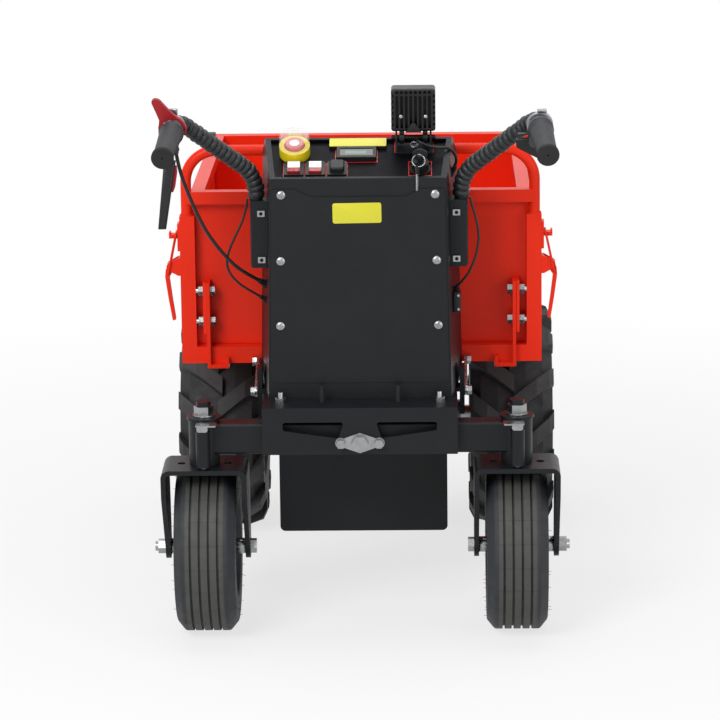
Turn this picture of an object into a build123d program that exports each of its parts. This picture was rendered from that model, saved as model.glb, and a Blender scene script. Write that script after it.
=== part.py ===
"""Electric mini dumper: tipping tray, battery box with controls, drive wheels and a rocking caster axle."""
import os
from math import atan2, cos, degrees, pi, radians, sin, tan

from build123d import *

# Fits and gaps shared by the whole machine, in millimetres
running_gap = 0.05
side_gap = 0.3
sheet = 3.0

# Ground line: caster kingpins at the rear (-Y), drive axle at the front (+Y)
wheelbase = 675.0
kingpin_y = -359.73
kingpin_x = 255.0
drive_axle_y = kingpin_y + wheelbase

# Caster wheels and forks
caster_tyre_d = 280.0
caster_tyre_w = 100.0
caster_rim_r = 68.0
caster_rim_w = 62.0
caster_tread_w = 74.0
caster_groove_w = 4.0
caster_groove_depth = 5.0
caster_groove_count = 4
caster_trail = 50.0
caster_axle_r = 8.0
fork_gap = 124.0
fork_plate = 8.0
fork_crown_gap = 8.0
fork_half_depth = 48.0
fork_boss_r = 20.0
fork_taper = 6.0
fork_flare = 10.0
fork_shoulder = 50.0
kingpin_r = 12.0
kingpin_nut_h = 14.0
kingpin_nut_r = 14.0
kingpin_thread = 8.0
washer_h = 3.0

# Rocking rear axle beam and caster locks
beam_h = 50.0
beam_d = 40.0
housing_r = 25.0
housing_h = 80.0
housing_cap_r = 28.0
housing_cap_h = 4.0
lock_offset = 38.0
lock_tube_r = 11.5
lock_tube_h = 60.0
lock_pin_r = 6.0
lock_travel = 9.0
lock_tube_lift = 4.0
lock_tip_gap = 1.0
lock_pin_head = 13.0
lock_tab_w = 34.0
lock_tab_front = 9.0
lock_tab_offset = 6.0
lock_tab_t = 2.5
lock_lip_w = 18.0
lock_lip_h = 11.0
lock_corner_r = 4.0
lock_hole_gap = 0.8
pivot_r = 10.0
pivot_boss_r = 22.0
pivot_drop = 26.0
buffer_x = 62.0
buffer_r = 9.0
buffer_stud_r = 4.0

# Drive wheels
drive_tyre_d = 400.0
drive_tyre_w = 150.0
drive_tyre_x = 258.0
drive_rim_r = 102.0
drive_rim_w = 112.0
lug_depth = 15.0
lug_count = 14
drive_shaft_r = 14.0
hub_flange_r = 58.0
wheel_bolt_circle_r = 42.0
wheel_bolt_r = 5.0
wheel_bolt_count = 4
axle_tube_r = 24.0
axle_tube_end_x = 168.0
gearbox_r = 78.0
gearbox_w = 150.0
motor_r = 56.0
motor_length = 170.0

# Chassis
chassis_top = 398.0
top_plate = 7.0
rear_plate_half_w = 158.5
rear_plate_h = 78.0
rear_plate_t = 8.0
rear_plate_y = 40.0
rail_x = 125.0
rail_w = 40.0
rail_h = 38.0
guard_half_w = 142.0
guard_bottom = 120.0
guard_offset = 198.0
guard_flange = 26.0
hand_slot_inner_x = 26.0
hand_slot_outer_x = 125.0
hand_slot_top = 24.0
hand_slot_h = 27.0
hand_slot_slope = 13.0

# Tipping tray
tray_rear_offset = 190.0
tray_length = 660.0
tray_half_w = 301.0
floor_bottom = 417.0
floor_frame_h = 28.0
deck_sheet = 2.0
tray_frame_w = 40.0
wall_top = 706.0
wall_front_drop = 19.0
wall_rail_w = 23.0
wall_rail_h = 20.0
wall_set_in = 18.0
post_w = 25.0
post_top = 668.0
hoop_r = 9.0
hoop_set_out = 1.0
hoop_top = 786.0
hoop_bend_r = 52.0
hoop_seat_depth = 60.0
hoop_rail_bottom = 688.0
hoop_rail_h = 21.0
hoop_rail_d = 20.0
tray_pivot_back = 15.0
tray_pivot_drop = 45.0
tray_pivot_r = 8.0
tray_lug_t = 8.0
tray_lug_r = 20.0
hanger_inset = 21.0
hanger_t = 6.0
hanger_h = 140.0
hanger_foot = 36.0
hanger_bolt_r = 5.0
hanger_bolt_spacing = 52.0
hanger_bolt_top = 16.0

# Toggle latches on the tray sides
latch_y_offset = 12.5
latch_base_w = 22.0
latch_base_h = 30.0
latch_pivot_z = 582.0
latch_pin_r = 3.0
latch_lever_length = 92.0
catch_z = 640.0
catch_reach = 18.0
catch_plate_h = 46.0
bail_wire_r = 1.8
bail_half_w = 14.0

# Battery box with a sloped control panel
box_rear_offset = 24.0
box_lean = 16.0
box_front_offset = 184.0
box_rear_half_w = 149.5
box_top_narrowing = 6.5
box_side_splay = 0.1175
box_near_rim_z = 760.0
panel_run = 92.0
panel_rise = 50.3
box_front_top_z = 782.0
rim_w = 9.0
panel_recess = 6.0
cover_bottom_z = 425.0
cover_top_gap = 17.0
cover_dip = 12.5
cover_dip_half_w = 76.0
cover_dip_run = 27.0
cover_margin = 3.0
screw_head_r = 7.0
screw_head_h = 4.0
screw_rows = (519.0, 626.0, 734.0)
screw_margin = 19.0

# Control panel fittings, as places across (u) and up (v) the panel
estop_u = -103.5
estop_v = 18.5
estop_r = 25.0
estop_base_h = 18.0
estop_button_r = 16.0
estop_travel = 5.0
estop_cover_wall = 1.6
estop_cover_h = 20.0
bezel_us = (-104.2, -69.4, -34.0)
bezel_v = -25.0
bezel_w = 32.0
bezel_l = 34.0
rocker_w = 20.0
rocker_l = 25.0
display_u = -3.0
display_v = 12.0
display_w = 64.0
display_l = 28.0
key_u = 100.5
key_v = -24.0
key_barrel_r = 14.0
key_barrel_h = 16.0
key_head_r = 12.0
lamp_u = 90.0
lamp_v = 28.0

# Work lamp
lamp_w = 72.0
lamp_h = 70.0
lamp_d = 44.0
lamp_fin_count = 8
lamp_fin_slot = 4.6
lamp_fin_depth = 20.0
lamp_arm_half = 28.0
lamp_arm_t = 3.0
lamp_arm_w = 22.0
lamp_foot_w = 60.0
lamp_pivot_lift = 20.0
lamp_lug_w = 46.0
lamp_lug_t = 8.0
lamp_bolt_r = 4.0
lamp_clear = 13.0

# Handlebars
bar_r = 11.0
bar_x = 167.0
bar_offset = 90.0
bar_foot_z = 606.0
bar_bend_z = 757.0
bar_turn_x = 289.0
bar_turn_offset = 12.0
bar_turn_z = 864.0
bar_end_x = 300.5
bar_end_offset = -148.0
bar_end_z = 832.0
bar_lower_bend_r = 60.0
bar_upper_bend_r = 42.0
loom_start_z = 720.0
loom_peak_r = 14.5
loom_valley_r = 12.6
loom_rib_count = 28
loom_end_gap = 1.0
grip_r = 16.0
grip_length = 106.0
bracket_w = 34.0
bracket_reach = 8.0
clamp_bolt_r = 6.0
clamp_inset = 20.0

# Hand levers
perch_r = 17.0
left_perch_r = 13.5
perch_w = 24.0
perch_gap = 2.0
lever_pin_r = 3.0
brake_lever_length = 96.0
parking_rise = 52.0
parking_lean = 24.0
parking_tip_w = 15.0

# Cables
brake_cable_r = 3.0
switch_cable_r = 2.0
lamp_cable_r = 2.6

os.makedirs("parts", exist_ok=True)


def save(piece, name):
    piece.part.label = name
    export_step(piece.part, f"parts/{name}.step")


def wheel_plane(x, y, z):
    """Plane whose normal is the wheel's axle, along +X."""
    return Plane(origin=(x, y, z), x_dir=(0, 1, 0), z_dir=(1, 0, 0))


# Places that several pieces share
caster_axle_z = caster_tyre_d / 2
drive_axle_z = drive_tyre_d / 2
caster_axle_y = kingpin_y + caster_trail
fork_top = caster_tyre_d + fork_crown_gap + fork_plate
housing_bottom = fork_top + side_gap
housing_top = housing_bottom + housing_h
beam_bottom = housing_top - 10.0 - beam_h
beam_top = beam_bottom + beam_h
plate_underside = chassis_top - top_plate
pivot_z = beam_top - pivot_drop
rear_plate_back = kingpin_y - rear_plate_y
front_plate_back = kingpin_y + rear_plate_y - rear_plate_t
fork_arm_x = fork_gap / 2
lock_y = kingpin_y - lock_offset
lock_tube_bottom = housing_bottom + lock_tube_lift
lock_tube_top = lock_tube_bottom + lock_tube_h
hanger_x = tray_half_w - post_w - hanger_inset
side_wall_x = tray_half_w - wall_set_in
wall_inner_x = side_wall_x - wall_rail_w
perch_seat = grip_length + perch_gap + perch_w / 2

# Caster tyres: ribbed tread, hollow, open towards the rim
tyre_wall = 9.0
rim_lip = 6.0
rim_lip_t = 3.0
caster_shoulder = 16.0
caster_bead_x = caster_rim_w / 2
caster_r = caster_tyre_d / 2
with BuildPart() as caster_tyre:
    with BuildSketch(Plane.XZ) as tyre_section:
        Polygon(
            (caster_rim_r, -caster_bead_x),
            (caster_rim_r + rim_lip, -caster_bead_x),
            (caster_rim_r + caster_shoulder, -caster_tyre_w / 2),
            (caster_r - caster_shoulder, -caster_tyre_w / 2),
            (caster_r, -caster_tread_w / 2),
            (caster_r, caster_tread_w / 2),
            (caster_r - caster_shoulder, caster_tyre_w / 2),
            (caster_rim_r + caster_shoulder, caster_tyre_w / 2),
            (caster_rim_r + rim_lip, caster_bead_x),
            (caster_rim_r, caster_bead_x),
            align=None,
        )
        corners = tyre_section.vertices().filter_by(lambda v: v.X > caster_rim_r + rim_lip + 1)
        fillet(corners, caster_shoulder * 0.4)
        hollow_h = caster_r - caster_rim_r - 2 * tyre_wall
        with Locations((caster_rim_r + hollow_h / 2, 0)):
            Rectangle(hollow_h, 2 * (caster_bead_x - tyre_wall), mode=Mode.SUBTRACT)
        groove_pitch = caster_tread_w / (caster_groove_count + 1)
        for index in range(caster_groove_count):
            groove_x = (index - (caster_groove_count - 1) / 2) * groove_pitch
            with Locations((caster_r, groove_x)):
                Rectangle(2 * caster_groove_depth, caster_groove_w, mode=Mode.SUBTRACT)
    revolve(axis=Axis.Z)

# Caster rims: barrel, disc and hub with the axle bore
caster_hub_r = 20.0
caster_hub_w = 84.0
caster_rim_wall = 4.0
with BuildPart() as caster_rim:
    with BuildSketch(Plane.XZ):
        barrel_r = caster_rim_r - side_gap
        with Locations((barrel_r - caster_rim_wall / 2, 0)):
            Rectangle(caster_rim_wall, caster_rim_w)
        for end in (-1, 1):
            with Locations((barrel_r, end * (caster_rim_w + rim_lip_t) / 2)):
                Rectangle(2 * rim_lip, rim_lip_t)
        with Locations(((barrel_r + caster_axle_r) / 2, 0)):
            Rectangle(barrel_r - caster_axle_r, 6)
        hub_inner = caster_axle_r + running_gap
        with Locations(((caster_hub_r + hub_inner) / 2, 0)):
            Rectangle(caster_hub_r - hub_inner, caster_hub_w)
    revolve(axis=Axis.Z)
    with BuildSketch(Plane.XY):
        Circle(caster_axle_r + running_gap)
    extrude(amount=caster_hub_w, both=True, mode=Mode.SUBTRACT)

fork_outer_x = fork_arm_x + fork_plate
axle_head_r = 12.5
axle_head_h = 10.0
axle_spacer_r = 13.0
axle_end = fork_outer_x + 18.0
for side, sign in (("left", -1), ("right", 1)):
    caster_x = sign * kingpin_x
    with BuildPart() as tyre:
        with Locations(wheel_plane(caster_x, caster_axle_y, caster_axle_z).location):
            add(caster_tyre.part)
    save(tyre, f"caster_tyre_{side}")

    with BuildPart() as rim:
        with Locations(wheel_plane(caster_x, caster_axle_y, caster_axle_z).location):
            add(caster_rim.part)
    save(rim, f"caster_rim_{side}")

    # Fork: a bent crown plate with two tapering legs, and the kingpin welded to the crown
    with BuildPart() as fork:
        arm_plane = Plane(origin=(caster_x - fork_outer_x, kingpin_y, 0), x_dir=(0, 1, 0), z_dir=(1, 0, 0))
        with BuildSketch(arm_plane):
            Polygon(
                (-fork_half_depth, fork_top),
                (-fork_half_depth + fork_taper, fork_top - fork_shoulder),
                (caster_trail - fork_boss_r, caster_axle_z),
                (caster_trail + fork_boss_r, caster_axle_z),
                (fork_half_depth + fork_flare, fork_top - fork_shoulder),
                (fork_half_depth, fork_top),
                align=None,
            )
            with Locations((caster_trail, caster_axle_z)):
                Circle(fork_boss_r)
        extrude(amount=2 * fork_outer_x)
        shoulder = fork.faces().sort_by(Axis.Z)[-1].edges().filter_by(Axis.Y)
        fillet(shoulder, fork_plate + 6)
        with BuildSketch(Plane.XZ.offset(-kingpin_y)):
            with Locations((caster_x, (fork_top - fork_plate) / 2)):
                RectangleRounded(fork_gap, fork_top - fork_plate, 6)
        extrude(amount=4 * fork_half_depth, both=True, mode=Mode.SUBTRACT)
        with BuildSketch(Plane.XY.offset(fork_top - fork_plate)):
            with Locations((caster_x, kingpin_y)):
                Circle(kingpin_r)
        extrude(amount=fork_plate + side_gap + housing_h + washer_h + kingpin_nut_h + kingpin_thread)
        with BuildSketch(Plane.XY.offset(fork_top)):
            with Locations((caster_x, kingpin_y)):
                with PolarLocations(lock_offset, 4, start_angle=-90):
                    Circle(lock_pin_r + lock_hole_gap)
        extrude(amount=-fork_plate, mode=Mode.SUBTRACT)
        with BuildSketch(arm_plane):
            with Locations((caster_trail, caster_axle_z)):
                Circle(caster_axle_r + running_gap)
        extrude(amount=2 * fork_outer_x, mode=Mode.SUBTRACT)
    save(fork, f"caster_fork_{side}")

    # Axle bolt with its spacers and nut, and the kingpin's washer and nut
    axle_plane = wheel_plane(caster_x, caster_axle_y, caster_axle_z)
    with BuildPart() as axle_hardware:
        with BuildSketch(axle_plane.offset(-sign * (fork_outer_x + axle_head_h))):
            Circle(caster_axle_r)
        extrude(amount=sign * (fork_outer_x + axle_head_h + axle_end))
        with BuildSketch(axle_plane.offset(-sign * fork_outer_x)):
            RegularPolygon(axle_head_r, 6)
        extrude(amount=-sign * axle_head_h)
        for end in (-1, 1):
            spacer_in = caster_hub_w / 2 + side_gap
            with BuildSketch(axle_plane.offset(end * spacer_in)):
                Circle(axle_spacer_r)
                Circle(caster_axle_r + running_gap, mode=Mode.SUBTRACT)
            extrude(amount=end * (fork_arm_x - spacer_in), mode=Mode.ADD)
        with BuildSketch(axle_plane.offset(sign * fork_outer_x)):
            RegularPolygon(axle_head_r, 6)
            Circle(caster_axle_r + running_gap, mode=Mode.SUBTRACT)
        extrude(amount=sign * 13)
        with BuildSketch(Plane.XY.offset(housing_top)):
            with Locations((caster_x, kingpin_y)):
                Circle(kingpin_nut_r + 4)
                Circle(kingpin_r + running_gap, mode=Mode.SUBTRACT)
        extrude(amount=washer_h)
        with BuildSketch(Plane.XY.offset(housing_top + washer_h)):
            with Locations((caster_x, kingpin_y)):
                RegularPolygon(kingpin_nut_r + 2, 6)
                Circle(kingpin_r + running_gap, mode=Mode.SUBTRACT)
        extrude(amount=kingpin_nut_h)
    save(axle_hardware, f"caster_axle_{side}")

    # Spring plunger that drops into the fork's index holes, with a pull tab bent down outside the tube
    tab_back = lock_tube_r + side_gap + lock_tab_t
    tab_z = lock_tube_top + lock_travel + lock_tip_gap
    with BuildPart() as plunger:
        with BuildSketch(Plane.XY.offset(fork_top + lock_tip_gap)):
            with Locations((caster_x, lock_y)):
                Circle(lock_pin_r)
        extrude(amount=lock_tube_top + lock_pin_head - fork_top - lock_tip_gap)
        chamfer(plunger.edges().group_by(Axis.Z)[0], lock_pin_r / 4)
        with BuildSketch(Plane.XY.offset(tab_z)):
            with Locations((caster_x - sign * lock_tab_offset, lock_y + (lock_tab_front - tab_back) / 2)):
                RectangleRounded(lock_tab_w, lock_tab_front + tab_back, lock_corner_r)
        extrude(amount=lock_tab_t)
        with BuildSketch(Plane.XZ.offset(tab_back - lock_y)):
            with Locations((caster_x, tab_z + lock_tab_t - lock_lip_h / 2)):
                RectangleRounded(lock_lip_w, lock_lip_h, lock_corner_r)
        extrude(amount=-lock_tab_t)
    save(plunger, f"lock_plunger_{side}")

# Rocking beam: cross tube, pivot boss, caster housings and lock tubes
with BuildPart() as rear_axle_beam:
    with BuildSketch(Plane.YZ.offset(-kingpin_x)):
        with Locations((kingpin_y, (beam_bottom + beam_top) / 2)):
            RectangleRounded(beam_d, beam_h, 4)
    extrude(amount=2 * kingpin_x)
    with BuildSketch(Plane.XZ.offset(-(front_plate_back - side_gap))):
        with Locations((0, pivot_z)):
            Circle(pivot_boss_r)
    extrude(amount=2 * (rear_plate_y - rear_plate_t - side_gap))
    for sign in (-1, 1):
        with BuildSketch(Plane.XY.offset(housing_bottom)):
            with Locations((sign * kingpin_x, kingpin_y)):
                Circle(housing_r)
        extrude(amount=housing_h)
        with BuildSketch(Plane.XY.offset(housing_top - housing_cap_h)):
            with Locations((sign * kingpin_x, kingpin_y)):
                Circle(housing_cap_r)
        extrude(amount=housing_cap_h)
        with BuildSketch(Plane.XY.offset(lock_tube_bottom)):
            with Locations((sign * kingpin_x, lock_y)):
                Circle(lock_tube_r)
            with Locations((sign * kingpin_x, kingpin_y - lock_offset / 2 - 6)):
                Rectangle(14, lock_offset - 12)
        extrude(amount=lock_tube_h)
        with BuildSketch(Plane.XY.offset(housing_bottom)):
            with Locations((sign * kingpin_x, kingpin_y)):
                Circle(kingpin_r + running_gap)
            with Locations((sign * kingpin_x, lock_y)):
                Circle(lock_pin_r + running_gap)
        extrude(amount=housing_h, mode=Mode.SUBTRACT)
    with BuildSketch(Plane.XZ.offset(-kingpin_y)):
        with Locations((0, pivot_z)):
            Circle(pivot_r + running_gap)
    extrude(amount=rear_plate_y, both=True, mode=Mode.SUBTRACT)
save(rear_axle_beam, "rear_axle_beam")

# Drive tyres: hollow carcass with angled lugs, shoulders at the sides
drive_r = drive_tyre_d / 2
carcass_r = drive_r - lug_depth
drive_bead_x = drive_rim_w / 2
drive_half_w = drive_tyre_w / 2
drive_wall = 11.0
lug_w = 30.0
lug_lead = 62.0
lug_nose_past_centre = 4.0
lug_side_reach = 46.0
crown_half_w = 44.0
crown_drop = 8.0
with BuildPart() as lug_envelope:
    with BuildSketch(Plane.XZ):
        Polygon(
            (drive_rim_r, -drive_half_w),
            (drive_r - 3 * crown_drop, -drive_half_w),
            (drive_r - crown_drop, -drive_half_w + crown_drop),
            (drive_r, -crown_half_w),
            (drive_r, crown_half_w),
            (drive_r - crown_drop, drive_half_w - crown_drop),
            (drive_r - 3 * crown_drop, drive_half_w),
            (drive_rim_r, drive_half_w),
            align=None,
        )
    revolve(axis=Axis.Z)

lug_pair = []
for half in (-1, 1):
    with BuildPart() as lug:
        with BuildSketch(Plane.YZ.offset(drive_r - lug_side_reach)):
            Polygon(
                (lug_lead / 2 - lug_w / 2, -half * lug_nose_past_centre),
                (lug_lead / 2 + lug_w / 2, -half * lug_nose_past_centre),
                (-lug_lead / 2 + lug_w / 2, half * drive_half_w),
                (-lug_lead / 2 - lug_w / 2, half * drive_half_w),
                align=None,
            )
        extrude(amount=lug_side_reach + lug_depth)
        add(lug_envelope.part, mode=Mode.INTERSECT)
    lug_pair.append(lug.part)

with BuildPart() as drive_tyre:
    with BuildSketch(Plane.XZ):
        Polygon(
            (drive_rim_r, -drive_bead_x),
            (drive_rim_r + rim_lip, -drive_bead_x),
            (drive_rim_r + 2 * rim_lip, -drive_half_w + 4),
            (drive_r - lug_side_reach + 6, -drive_half_w + 2),
            (carcass_r - 4, -drive_half_w + 20),
            (carcass_r, -drive_half_w / 3),
            (carcass_r, drive_half_w / 3),
            (carcass_r - 4, drive_half_w - 20),
            (drive_r - lug_side_reach + 6, drive_half_w - 2),
            (drive_rim_r + 2 * rim_lip, drive_half_w - 4),
            (drive_rim_r + rim_lip, drive_bead_x),
            (drive_rim_r, drive_bead_x),
            align=None,
        )
        hollow_h = carcass_r - drive_rim_r - drive_wall
        with Locations((drive_rim_r + hollow_h / 2 - drive_wall / 2, 0)):
            Rectangle(hollow_h - drive_wall, 2 * (drive_bead_x - drive_wall), mode=Mode.SUBTRACT)
        with Locations((drive_rim_r, 0)):
            Rectangle(4 * drive_wall, 2 * (drive_bead_x - drive_wall), mode=Mode.SUBTRACT)
    revolve(axis=Axis.Z)
    lug_pitch = 360 / lug_count
    for start, lug_part in zip((-90, -90 - lug_pitch / 2), lug_pair):
        with PolarLocations(0, lug_count, start_angle=start):
            add(lug_part)

# Drive rims: barrel with lips, centre disc with a hub bore and stud holes
drive_rim_wall = 4.0
disc_t = 8.0
with BuildPart() as drive_rim:
    with BuildSketch(Plane.XZ):
        barrel_r = drive_rim_r - side_gap
        with Locations((barrel_r - drive_rim_wall / 2, 0)):
            Rectangle(drive_rim_wall, drive_rim_w)
        for end in (-1, 1):
            with Locations((barrel_r, end * (drive_rim_w + rim_lip_t) / 2)):
                Rectangle(2 * rim_lip, rim_lip_t)
        with Locations((barrel_r / 2, 0)):
            Rectangle(barrel_r, disc_t)
    revolve(axis=Axis.Z)
    with BuildSketch(Plane.XY):
        Circle(drive_shaft_r + side_gap)
        with PolarLocations(wheel_bolt_circle_r, wheel_bolt_count):
            Circle(wheel_bolt_r + side_gap)
    extrude(amount=disc_t, both=True, mode=Mode.SUBTRACT)

hub_flange_t = 10.0
shaft_inner_x = 62.0
wheel_nut_r = 9.0
for side, sign in (("left", -1), ("right", 1)):
    hub_plane = wheel_plane(sign * drive_tyre_x, drive_axle_y, drive_axle_z)
    with BuildPart() as tyre:
        with Locations(hub_plane.location):
            add(drive_tyre.part)
    save(tyre, f"drive_tyre_{side}")

    with BuildPart() as rim:
        with Locations(hub_plane.location):
            add(drive_rim.part)
    save(rim, f"drive_rim_{side}")

    with BuildPart() as shaft:
        with BuildSketch(hub_plane.offset(sign * (disc_t / 2 + 4))):
            Circle(drive_shaft_r)
        extrude(amount=-sign * (drive_tyre_x + disc_t / 2 + 4 - shaft_inner_x))
        with BuildSketch(hub_plane.offset(-sign * disc_t / 2)):
            Circle(hub_flange_r)
        extrude(amount=-sign * hub_flange_t)
        with BuildSketch(hub_plane.offset(-sign * disc_t / 2)):
            with PolarLocations(wheel_bolt_circle_r, wheel_bolt_count):
                Circle(wheel_bolt_r)
        extrude(amount=sign * (disc_t + 14))
        with BuildSketch(hub_plane.offset(sign * disc_t / 2)):
            with PolarLocations(wheel_bolt_circle_r, wheel_bolt_count):
                RegularPolygon(wheel_nut_r, 6)
        extrude(amount=sign * 8)
    save(shaft, f"drive_shaft_{side}")

# Transaxle: gearbox with axle tubes, and the drive motor behind it
motor_axis_z = drive_axle_z + 14.0
with BuildPart() as transaxle:
    axle_line = wheel_plane(0, drive_axle_y, drive_axle_z)
    with BuildSketch(axle_line):
        Circle(gearbox_r)
    extrude(amount=gearbox_w / 2, both=True)
    fillet(transaxle.edges(), 8)
    with BuildSketch(axle_line):
        Circle(axle_tube_r)
    extrude(amount=axle_tube_end_x, both=True)
    with BuildSketch(Plane.XZ.offset(-drive_axle_y)):
        with Locations((0, motor_axis_z)):
            Circle(motor_r)
    extrude(amount=gearbox_r - 10 + motor_length)
    with BuildSketch(axle_line):
        Circle(drive_shaft_r + running_gap)
    extrude(amount=axle_tube_end_x, both=True, mode=Mode.SUBTRACT)
save(transaxle, "transaxle")

# Chassis: rails, axle hangers, top plate, the two plates that hold the rear pivot, and tray rests
tray_rear_y = kingpin_y + tray_rear_offset
tray_front_y = tray_rear_y + tray_length
tray_pivot_y = tray_front_y - tray_pivot_back
tray_pivot_z = floor_bottom - tray_pivot_drop
rail_bottom = plate_underside - rail_h
rail_start_y = front_plate_back
rail_end_y = tray_pivot_y + 22.0
rest_offset = 70.0
rest_y = tray_rear_y + rest_offset
rest_l = 40.0
hanger_plate_w = 90.0
hanger_plate_t = 10.0
box_front_y = kingpin_y + box_front_offset
catch_ear_x = 163.0
catch_ear_t = 8.0
catch_ear_offset = 88.0
catch_ear_l = 34.0
catch_ear_y = kingpin_y + catch_ear_offset + catch_ear_l / 2
with BuildPart() as chassis_frame:
    with BuildSketch(Plane.XY.offset(plate_underside)):
        with Locations((0, (rear_plate_back + box_front_y) / 2)):
            Rectangle(2 * rear_plate_half_w, box_front_y - rear_plate_back)
        with Locations((0, catch_ear_y)):
            Rectangle(2 * (catch_ear_x + catch_ear_t), catch_ear_l)
    extrude(amount=top_plate)
    for plate_y in (rear_plate_back, front_plate_back):
        with BuildSketch(Plane.XZ.offset(-plate_y)):
            with Locations((0, plate_underside + top_plate - rear_plate_h / 2)):
                Rectangle(2 * rear_plate_half_w, rear_plate_h)
        extrude(amount=-rear_plate_t)
    with BuildSketch(Plane.XZ.offset(-rear_plate_back)):
        slot_top = chassis_top - hand_slot_top
        for sign in (-1, 1):
            with BuildLine():
                FilletPolyline(
                    (sign * hand_slot_inner_x, slot_top),
                    (sign * hand_slot_outer_x, slot_top),
                    (sign * hand_slot_outer_x, slot_top - hand_slot_h + hand_slot_slope),
                    (sign * (hand_slot_inner_x + 9), slot_top - hand_slot_h),
                    radius=4,
                    close=True,
                )
            make_face()
    extrude(amount=-rear_plate_t, mode=Mode.SUBTRACT)
    for sign in (-1, 1):
        with BuildSketch(Plane.XZ.offset(-rail_start_y)):
            with Locations((sign * rail_x, rail_bottom + rail_h / 2)):
                Rectangle(rail_w, rail_h)
        extrude(amount=-(rail_end_y - rail_start_y))
        with BuildSketch(Plane.XY.offset(plate_underside)):
            with Locations((sign * rail_x, rest_y + rest_l / 2)):
                Rectangle(rail_w, rest_l)
        extrude(amount=floor_bottom - side_gap - plate_underside)
        with BuildSketch(wheel_plane(sign * rail_x - hanger_plate_t / 2, drive_axle_y, 0)):
            with Locations((0, (rail_bottom + drive_axle_z) / 2)):
                Rectangle(hanger_plate_w, rail_bottom - drive_axle_z)
            with Locations((0, drive_axle_z)):
                Circle(hanger_plate_w / 2)
        extrude(amount=hanger_plate_t)
        with BuildSketch(Plane.XY.offset(rail_bottom)):
            with Locations((sign * (catch_ear_x + catch_ear_t / 2), catch_ear_y)):
                Rectangle(catch_ear_t, catch_ear_l)
        extrude(amount=chassis_top + 34 - rail_bottom)
    for cross_y in (box_front_y - rail_w, drive_axle_y - 2.5 * rail_w, rail_end_y - rail_w - 44):
        with BuildSketch(Plane.XZ.offset(-cross_y)):
            with Locations((0, rail_bottom + rail_h / 2)):
                Rectangle(2 * rail_x, rail_h)
        extrude(amount=-rail_w)
    with BuildSketch(wheel_plane(0, drive_axle_y, drive_axle_z)):
        Circle(axle_tube_r + side_gap)
    extrude(amount=2 * rail_x, both=True, mode=Mode.SUBTRACT)
    with BuildSketch(wheel_plane(0, tray_pivot_y, tray_pivot_z)):
        Circle(tray_pivot_r + running_gap)
    extrude(amount=2 * rail_x, both=True, mode=Mode.SUBTRACT)
    with BuildSketch(Plane.XZ.offset(-kingpin_y)):
        with Locations((0, pivot_z)):
            Circle(pivot_r + running_gap)
    extrude(amount=2 * rear_plate_y, both=True, mode=Mode.SUBTRACT)
    with BuildSketch(Plane.XY.offset(plate_underside)):
        with Locations((-buffer_x, kingpin_y), (buffer_x, kingpin_y)):
            Circle(buffer_stud_r + running_gap)
    extrude(amount=top_plate, mode=Mode.SUBTRACT)
save(chassis_frame, "chassis_frame")

# Belly guard: a folded plate hung under the rails
with BuildPart() as belly_guard:
    guard_y = kingpin_y + guard_offset
    guard_h = rail_bottom - guard_bottom
    with BuildSketch(Plane.XZ.offset(-guard_y)) as guard_face:
        with Locations((0, guard_bottom + guard_h / 2)):
            Rectangle(2 * guard_half_w, guard_h)
        fillet(guard_face.vertices().group_by(Axis.Z)[0], 9)
    extrude(amount=-sheet)
    for sign in (-1, 1):
        with BuildSketch(Plane.XY.offset(guard_bottom + 10)):
            with Locations((sign * (guard_half_w - sheet / 2), guard_y + guard_flange / 2)):
                Rectangle(sheet, guard_flange)
        extrude(amount=guard_h - 10)
save(belly_guard, "belly_guard")

# Pivot bolt of the rear axle, with its keeper plate and two small bolts on the rear plate
keeper_half = 31.0
keeper_t = 4.0
bolt_head_h = 9.0
bolt_head_r = 14.0
keeper_bolt_r = 8.0
keeper_end_r = 9.0
keeper_waist = 6.0
keeper_peak = 17.0
pivot_tail = 14.0
with BuildPart() as axle_pivot_bolt:
    with BuildSketch(Plane.XZ.offset(-rear_plate_back)):
        with Locations((0, pivot_z)):
            Circle(pivot_r)
    extrude(amount=-(2 * rear_plate_y + pivot_tail))
    with BuildSketch(Plane.XZ.offset(-rear_plate_back)):
        with Locations((0, pivot_z)):
            Polygon(
                (-keeper_half, keeper_waist),
                (0, keeper_peak),
                (keeper_half, keeper_waist),
                (keeper_half, -keeper_waist),
                (0, -keeper_peak),
                (-keeper_half, -keeper_waist),
            )
            with Locations((-keeper_half, 0), (keeper_half, 0)):
                Circle(keeper_end_r)
    extrude(amount=keeper_t)
    with BuildSketch(Plane.XZ.offset(-rear_plate_back + keeper_t)):
        with Locations((0, pivot_z)):
            RegularPolygon(bolt_head_r, 6)
        with Locations((-keeper_half, pivot_z), (keeper_half, pivot_z)):
            RegularPolygon(keeper_bolt_r, 6)
    extrude(amount=bolt_head_h)
    with BuildSketch(Plane.XZ.offset(-(kingpin_y + rear_plate_y))):
        with Locations((0, pivot_z)):
            RegularPolygon(bolt_head_r, 6)
    extrude(amount=-bolt_head_h)
save(axle_pivot_bolt, "axle_pivot_bolt")

# Rubber buffers under the top plate that stop the rocking beam, each on a stud through the plate
buffer_clear = 6.5
buffer_stud_l = 26.0
with BuildPart() as axle_buffers:
    with BuildSketch(Plane.XY.offset(plate_underside)):
        with Locations((-buffer_x, kingpin_y), (buffer_x, kingpin_y)):
            Circle(buffer_r)
    extrude(amount=-(plate_underside - beam_top - buffer_clear))
    with BuildSketch(Plane.XY.offset(plate_underside)):
        with Locations((-buffer_x, kingpin_y), (buffer_x, kingpin_y)):
            Circle(buffer_stud_r)
    extrude(amount=top_plate + buffer_stud_l)
save(axle_buffers, "axle_buffers")

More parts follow.
